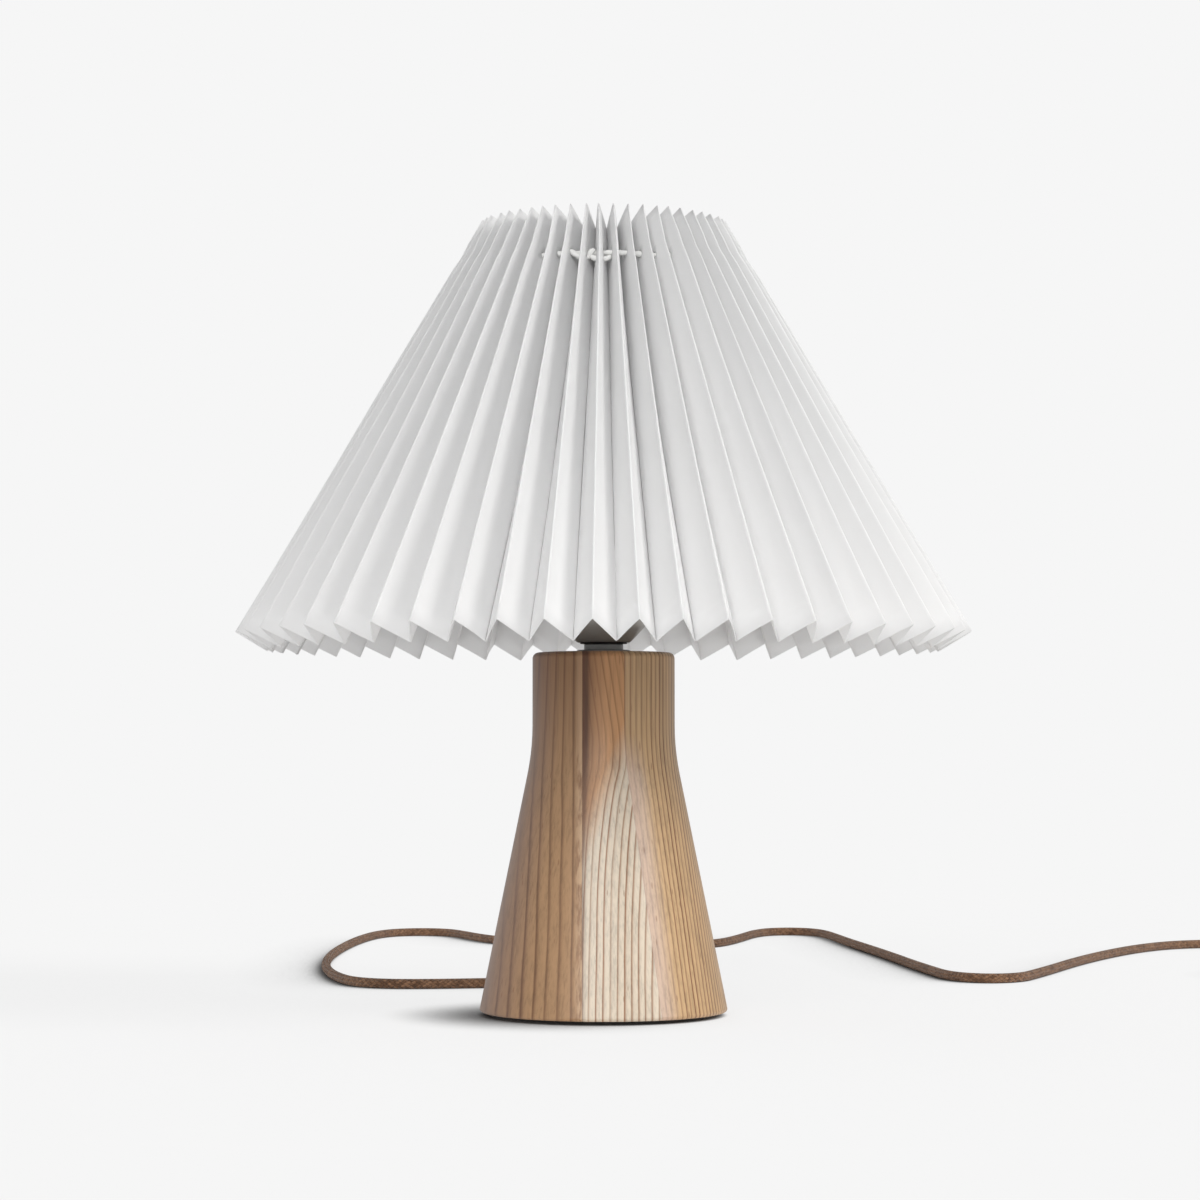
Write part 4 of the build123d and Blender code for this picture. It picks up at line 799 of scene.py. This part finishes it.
right_across = calc("ADD", calc("MULTIPLY", x, joint_normal[0]), calc("MULTIPLY", y, joint_normal[1]))
in_left = calc("LESS_THAN", x, first_joint)
in_right = calc("GREATER_THAN", right_across, joint_offset)
print("board distances:", len(tree.nodes), "nodes")

# %% Growth lines and fibres
# board: distance across it, spacing and wander in mm, sharpness
boards = {
    "left": (left_across, 3.45, 2.2, 1.5),
    "middle": (middle_across, 2.8, 1.8, 1.3),
    "right": (right_across, 2.4, 1.6, 1.0),
}
lines = {}
for name, (distance, spacing, wander, sharpness) in boards.items():
    lines[name] = use_group(tree, growth_group, Vector=place, Across=distance, Spacing=spacing * MM,
                            Wander=wander * MM, Sharpness=sharpness).outputs["Line"]
fibres = use_group(tree, fine_group, Vector=place, Fine_Scale=1500.0, Broad_Scale=38.0,
                   Stretch=(1.0, 1.0, 0.035)).outputs["Fine"]
streaks = use_group(tree, fine_group, Vector=place, Fine_Scale=420.0, Broad_Scale=16.0,
                    Stretch=(1.0, 1.0, 0.03)).outputs["Fine"]
print("lines of the boards:", sorted(lines))

# %% [markdown]
# The left board is brown with dark lines, speckled and paler beside the joint, and a painted shade makes it
# darker and greyer towards the stand's left side. The middle one is pale low down, a pale wood colour that
# also carries a painted highlight, and orange above a leaning boundary. The right one has a pink band beside
# the joint, which ends at the neck.

# %% Board colours
left_colour = blend_colours(tree, lines["left"], (0.405, 0.238, 0.122), (0.10, 0.034, 0.013))
pale_band = ramp(tree, calc("DIVIDE", off_joint, -3.2 * MM), [(0.0, 1.0), (0.5, 0.7), (1.0, 0.0)])
speckle = ramp(tree, streaks, [(0.42, (0.27, 0.13, 0.065)), (0.56, (0.58, 0.40, 0.25))])
left_colour = blend_colours(tree, calc("MULTIPLY", pale_band, 0.6), left_colour, speckle)
# painted shade: the stand's left side, towards -X, is made darker and greyer
side_on = calc("DIVIDE", x, reach)
painted_left_shade = ramp(tree, calc("MULTIPLY", side_on, -1.0), [(0.6, 0.0), (0.93, 0.75), (1.0, 0.9)])
left_colour = blend_colours(tree, painted_left_shade, left_colour, (0.28, 0.17, 0.12))

leaning_height = calc("SUBTRACT", z, calc("MULTIPLY", x, 2.4))
upper = map_range(tree, leaning_height, 0.078, 0.1, 0.0, 1.0)
# the pale colour low on the middle board is pale wood, brightened further as a painted highlight
middle_base = blend_colours(tree, upper, (0.66, 0.565, 0.445), (0.58, 0.305, 0.135))
middle_line = calc("MULTIPLY", lines["middle"], calc("SUBTRACT", 1.0, calc("MULTIPLY", upper, 0.3)))
middle_colour = blend_colours(tree, middle_line, middle_base, (0.27, 0.12, 0.05))

right_colour = blend_colours(tree, lines["right"], (0.59, 0.39, 0.205), (0.18, 0.06, 0.022))
pink_band = ramp(tree, calc("DIVIDE", calc("SUBTRACT", right_across, joint_offset), 9.0 * MM),
                 [(0.0, 1.0), (0.4, 0.75), (1.0, 0.0)])
below_neck = map_range(tree, z, 0.098, 0.114, 0.8, 0.05)
right_colour = blend_colours(tree, calc("MULTIPLY", pink_band, below_neck), right_colour, (0.58, 0.43, 0.35))

colour = blend_colours(tree, in_left, middle_colour, left_colour)
keep_right = calc("MULTIPLY", in_right, calc("SUBTRACT", 1.0, in_left))
colour = blend_colours(tree, keep_right, colour, right_colour)
print("board colours:", len(tree.nodes), "nodes")

# %% [markdown]
# Just right of the first joint runs a dark streak, wide at the neck and a thin line at the foot, on the
# front alone. Long fibres shade everything, and a painted shade makes the neck, under the lampshade,
# darker and warmer, most of all in the left board.

# %% Streak, fibres and painted neck shade
streak_width = map_range(tree, z, 0.06, 0.115, 2.0 * MM, 10.0 * MM)
streak = ramp(tree, calc("DIVIDE", off_joint, streak_width),
              [(0.0, 1.0), (0.2, 0.95), (0.36, 0.5), (1.0, 0.0)])
streak_up = map_range(tree, z, 0.02, 0.11, 0.45, 0.95)
on_front = calc("MULTIPLY", calc("LESS_THAN", y, 0.0), calc("GREATER_THAN", off_joint, 0.0))
streak = calc("MULTIPLY", calc("MULTIPLY", streak, streak_up), on_front)
colour = blend_colours(tree, streak, colour, (0.095, 0.032, 0.013))

fibre_tone = calc("ADD", calc("MULTIPLY", fibres, 0.5), calc("MULTIPLY", streaks, 0.5))
fibre_shade = ramp(tree, fibre_tone, [(0.38, 0.66), (0.5, 0.9), (0.6, 1.0)])
colour = blend_colours(tree, 0.75, colour, fibre_shade, "MULTIPLY")
# painted shade: the neck under the lampshade is made darker and warmer, most of all in the left board
painted_neck_shade = ramp(tree, calc("MULTIPLY", z, 6.8), [(0.66, (1.0, 1.0, 1.0)), (0.95, (0.80, 0.72, 0.66))])
painted_neck_shade_share = calc("ADD", calc("MULTIPLY", in_left, 0.65), 0.35)
colour = blend_colours(tree, painted_neck_shade_share, colour, painted_neck_shade, "MULTIPLY")
print("streak, fibres and age:", len(tree.nodes), "nodes")

# %% Pores and surface
pore_place = add(tree, "ShaderNodeVectorMath", "MULTIPLY", i0=place, i1=(620.0, 620.0, 75.0)).outputs[0]
pores = add(tree, "ShaderNodeTexVoronoi", Vector=pore_place, Scale=1.0)
pore = ramp(tree, pores.outputs["Distance"], [(0.0, 1.0), (0.13, 0.85), (0.24, 0.0)])
chance = add(tree, "ShaderNodeSeparateXYZ", Vector=pores.outputs["Color"]).outputs[0]
pore = calc("MULTIPLY", pore, calc("GREATER_THAN", chance, 0.86))
colour = blend_colours(tree, calc("MULTIPLY", pore, 0.55), colour, (0.19, 0.08, 0.035))
tree.links.new(colour, surface.inputs["Base Color"])
rough = calc("ADD", calc("MULTIPLY", fibre_tone, 0.25), 0.27, clamp=True)
tree.links.new(rough, surface.inputs["Roughness"])
for label, value in (("Specular IOR Level", 0.5), ("Coat Weight", 0.12), ("Coat Roughness", 0.25)):
    surface.inputs[label].default_value = value
bump(tree, surface, calc("SUBTRACT", fibre_tone, calc("MULTIPLY", pore, 0.6)), 0.4, 0.06 * MM)


def dress(material, *names):
    """Gives CAD nodes, whose shape is right as it is, a worked-out finish."""
    for name in names:
        mesh = nodes[name].data
        mesh.materials.clear()
        mesh.materials.append(material)


dress(wood, "wood_base")
print("wood:", len(tree.nodes), "nodes")

# %% [markdown]
# ## The woven cord
# Textile cord is a plaited sleeve: strands run round it both ways and pass over and under each other. A
# group lays two slanting sets of strands over the cord's own UV and lets a chequer decide which is on top,
# and the finish paints shade into the grooves between strands.

# %% Plait group
plait_group, given, gives = group(
    "plait", {"UV": None, "Strands Around": 10.0, "Strands Along": 620.0},
    ["Height", "Strand"])
calc = arithmetic(plait_group)
uv_parts = add(plait_group, "ShaderNodeSeparateXYZ", Vector=given["UV"])
around = calc("MULTIPLY", uv_parts.outputs[0], given["Strands Around"])
onward = calc("MULTIPLY", uv_parts.outputs[1], given["Strands Along"])
one_way, other_way = calc("ADD", around, onward), calc("SUBTRACT", around, onward)
one_cell, other_cell = calc("FLOOR", one_way), calc("FLOOR", other_way)
turn_over = calc("FLOORED_MODULO", calc("ADD", one_cell, other_cell), 2.0)
not_turned = calc("SUBTRACT", 1.0, turn_over)


def strand_back(calc, way):
    """A strand's round back: one less the square of the distance from its middle."""
    middle = calc("SUBTRACT", calc("FRACT", way), 0.5)
    return calc("SUBTRACT", 1.0, calc("MULTIPLY", calc("MULTIPLY", middle, middle), 3.6))


height = calc("ADD", calc("MULTIPLY", strand_back(calc, one_way), turn_over),
              calc("MULTIPLY", strand_back(calc, other_way), not_turned))
chosen = calc("ADD", calc("MULTIPLY", one_cell, turn_over),
              calc("MULTIPLY", calc("ADD", other_cell, 57.0), not_turned))
plait_group.links.new(height, gives["Height"])
plait_group.links.new(chance_of(plait_group, chosen), gives["Strand"])
print("plait group:", len(plait_group.nodes), "nodes")


# %% Woven finish
def plaited(name, dark, light, around_count, along_count, relief):
    """A plaited textile finish from two yarn colours."""
    material, tree, surface = node_material(name)
    uv = add(tree, "ShaderNodeUVMap").outputs[0]
    plait = use_group(tree, plait_group, UV=uv, Strands_Around=around_count, Strands_Along=along_count)
    place = add(tree, "ShaderNodeTexCoord").outputs["Object"]
    fuzz = use_group(tree, fine_group, Vector=place, Fine_Scale=3200.0, Broad_Scale=60.0)
    yarn = blend_colours(tree, plait.outputs["Strand"], dark, light)
    # painted shade: the grooves between strands are darkened by the plait's height
    painted_groove_shade = ramp(tree, plait.outputs["Height"], [(0.1, 0.45), (0.6, 0.95), (1.0, 1.0)])
    yarn = blend_colours(tree, 1.0, yarn, painted_groove_shade, "MULTIPLY")
    fluff = ramp(tree, fuzz.outputs["Fine"], [(0.3, 0.8), (0.7, 1.0)])
    tree.links.new(blend_colours(tree, 0.8, yarn, fluff, "MULTIPLY"), surface.inputs["Base Color"])
    surface.inputs["Roughness"].default_value = 0.88
    surface.inputs["Specular IOR Level"].default_value = 0.2
    surface.inputs["Sheen Weight"].default_value = 0.15
    calc = arithmetic(tree)
    total = calc("ADD", plait.outputs["Height"], calc("MULTIPLY", fuzz.outputs["Fine"], 0.3))
    bump(tree, surface, total, 0.8, relief * MM)
    return material


brown_plait = plaited("brown_plait", (0.135, 0.068, 0.036), (0.32, 0.175, 0.098), 8.0, 430.0, 0.5)
cord.data.materials.append(brown_plait)

inner_points = np.array([(0, 72, 10), (0, 50, 10), (0, 30, 10), (0, 12, 10), (0, 0, 10), (0, 0, 22),
                         (0, 0, 60), (0, 0, 110), (0, 0, 155)], float) * MM
inner_line = smooth_line("inner_cord_line", inner_points)
inner_cord = swept("inner_cord_woven", inner_line, cord_radius, "stand", "cord", sides=18, up=(1, 0, 0))
inner_cord.data.materials.append(brown_plait)
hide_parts("inner_cord")
print("cord faces:", len(cord.data.polygons), "inner cord faces:", len(inner_cord.data.polygons))

# %% [markdown]
# ## Metal, plastic, ceramic and rubber
# The remaining pieces keep their CAD shapes and get the finish of the real thing: a lampholder cup in dark
# bronze paint, zinc-plated nuts, brass contacts, a white powder-coated carrier and moulded brown plastic on
# the switch and plug. A stretched noise stands for brushing and turning marks.

# %% Finishes for the CAD pieces
turning, fine_turning = (0.2, 0.2, 2.0), (0.15, 0.15, 3.0)
# name: colour, roughness, other settings, and the nodes that wear it; a thread is its pitch, its depth and
# the distance from the axis that it starts at, in mm
finishes = {
    "dark_bronze": ((0.42, 0.40, 0.37), 0.42, dict(metallic=0.35, uneven=0.1, fine_scale=1100.0,
                    stretch=fine_turning, relief=0.03, darken=0.2), "holder_cup"),
    "black_plastic": ((0.028, 0.027, 0.026), 0.42, dict(fine_scale=1600.0, relief=0.04),
                      "shade_ring cord_grip_nut"),
    "threaded_black_plastic": ((0.028, 0.027, 0.026), 0.42, dict(fine_scale=1600.0, relief=0.04,
                               thread=(2.5, 0.7, 19.0)), "holder_skirt"),
    "threaded_zinc": ((0.50, 0.51, 0.50), 0.32, dict(metallic=1.0, fine_scale=1500.0, relief=0.02,
                      thread=(1.0, 0.5, 4.5)), "stem_tube"),
    "zinc_plate": ((0.52, 0.53, 0.52), 0.3, dict(metallic=1.0, fine_scale=1500.0, stretch=turning,
                   relief=0.02), "bottom_washer bottom_nut cup_nut terminal_screws"),
    "bright_steel": ((0.68, 0.68, 0.67), 0.2, dict(metallic=1.0, uneven=0.08, fine_scale=1500.0,
                     stretch=fine_turning, relief=0.015), "switch_pin switch_screws"),
    "dull_steel": ((0.20, 0.20, 0.195), 0.38, dict(metallic=0.9, fine_scale=1500.0, stretch=turning,
                   relief=0.03, darken=0.25), "top_washer lock_nut"),
    "contact_brass": ((0.78, 0.57, 0.27), 0.28, dict(metallic=1.0, relief=0.015),
                      "terminals centre_contact switch_contacts"),
    "dull_solder": ((0.5, 0.5, 0.51), 0.45, dict(metallic=1.0, fine_scale=700.0, relief=0.08), "bulb_tip"),
    "nickel_cap": ((0.66, 0.64, 0.6), 0.24, dict(metallic=1.0, relief=0.015), ""),
    "porcelain": ((0.80, 0.78, 0.73), 0.55, dict(fine_scale=700.0, relief=0.05, darken=0.05),
                  "terminal_block"),
    "dark_felt": ((0.025, 0.024, 0.023), 0.95, dict(uneven=0.03, fine_scale=2600.0, relief=0.3,
                  Sheen_Weight=0.3), "base_pad"),
    "pressed_fibre": ((0.035, 0.03, 0.028), 0.8, dict(fine_scale=1800.0, relief=0.1), "fibre_washer"),
    "opal_globe": ((0.84, 0.84, 0.82), 0.32, dict(uneven=0.03, fine_scale=1500.0, relief=0.005,
                   darken=0.02, Subsurface_Weight=0.3, Subsurface_Radius=(1.0, 1.0, 1.0),
                   Subsurface_Scale=0.004), "bulb_globe"),
    "bulb_housing_white": ((0.80, 0.80, 0.78), 0.38, dict(uneven=0.04, relief=0.01, darken=0.03),
                           "bulb_housing"),
    "cap_glass_black": ((0.02, 0.02, 0.025), 0.12, dict(relief=0.01), "bulb_insulator"),
    "board_white": ((0.78, 0.79, 0.78), 0.4, dict(relief=0.02, darken=0.05), "led_board"),
    "phosphor_yellow": ((0.85, 0.72, 0.16), 0.5, dict(relief=0.03), "led_chips"),
    "driver_green": ((0.04, 0.16, 0.07), 0.4, dict(relief=0.03), "led_driver"),
    "white_powder_coat": ((0.78, 0.78, 0.765), 0.52, dict(fine_scale=1300.0, relief=0.12, darken=0.05),
                          "carrier_ring carrier_arms carrier_fitter"),
    "brown_rubber": ((0.045, 0.027, 0.018), 0.7, dict(fine_scale=1500.0, relief=0.06), "cord_bush"),
    "moulded_brown": ((0.075, 0.042, 0.026), 0.36, dict(fine_scale=1300.0, relief=0.05),
                      "switch_lower switch_upper switch_rocker plug_body plug_relief"),
    "brown_lead": ((0.12, 0.05, 0.025), 0.45, dict(relief=0.03), "lead_live switch_leads"),
    "blue_lead": ((0.03, 0.10, 0.36), 0.45, dict(relief=0.03), "lead_neutral"),
    "pin_nickel": ((0.72, 0.69, 0.62), 0.25, dict(metallic=1.0, relief=0.01), "plug_pins"),
}
made = {}
for name, (colour, roughness, settings, wearers) in finishes.items():
    made[name] = finish(name, colour, roughness, **settings)
    dress(made[name], *wearers.split())
shell_sleeve.data.materials.append(made["contact_brass"])
cap_sleeve.data.materials.append(made["nickel_cap"])
print("materials:", len(bpy.data.materials))
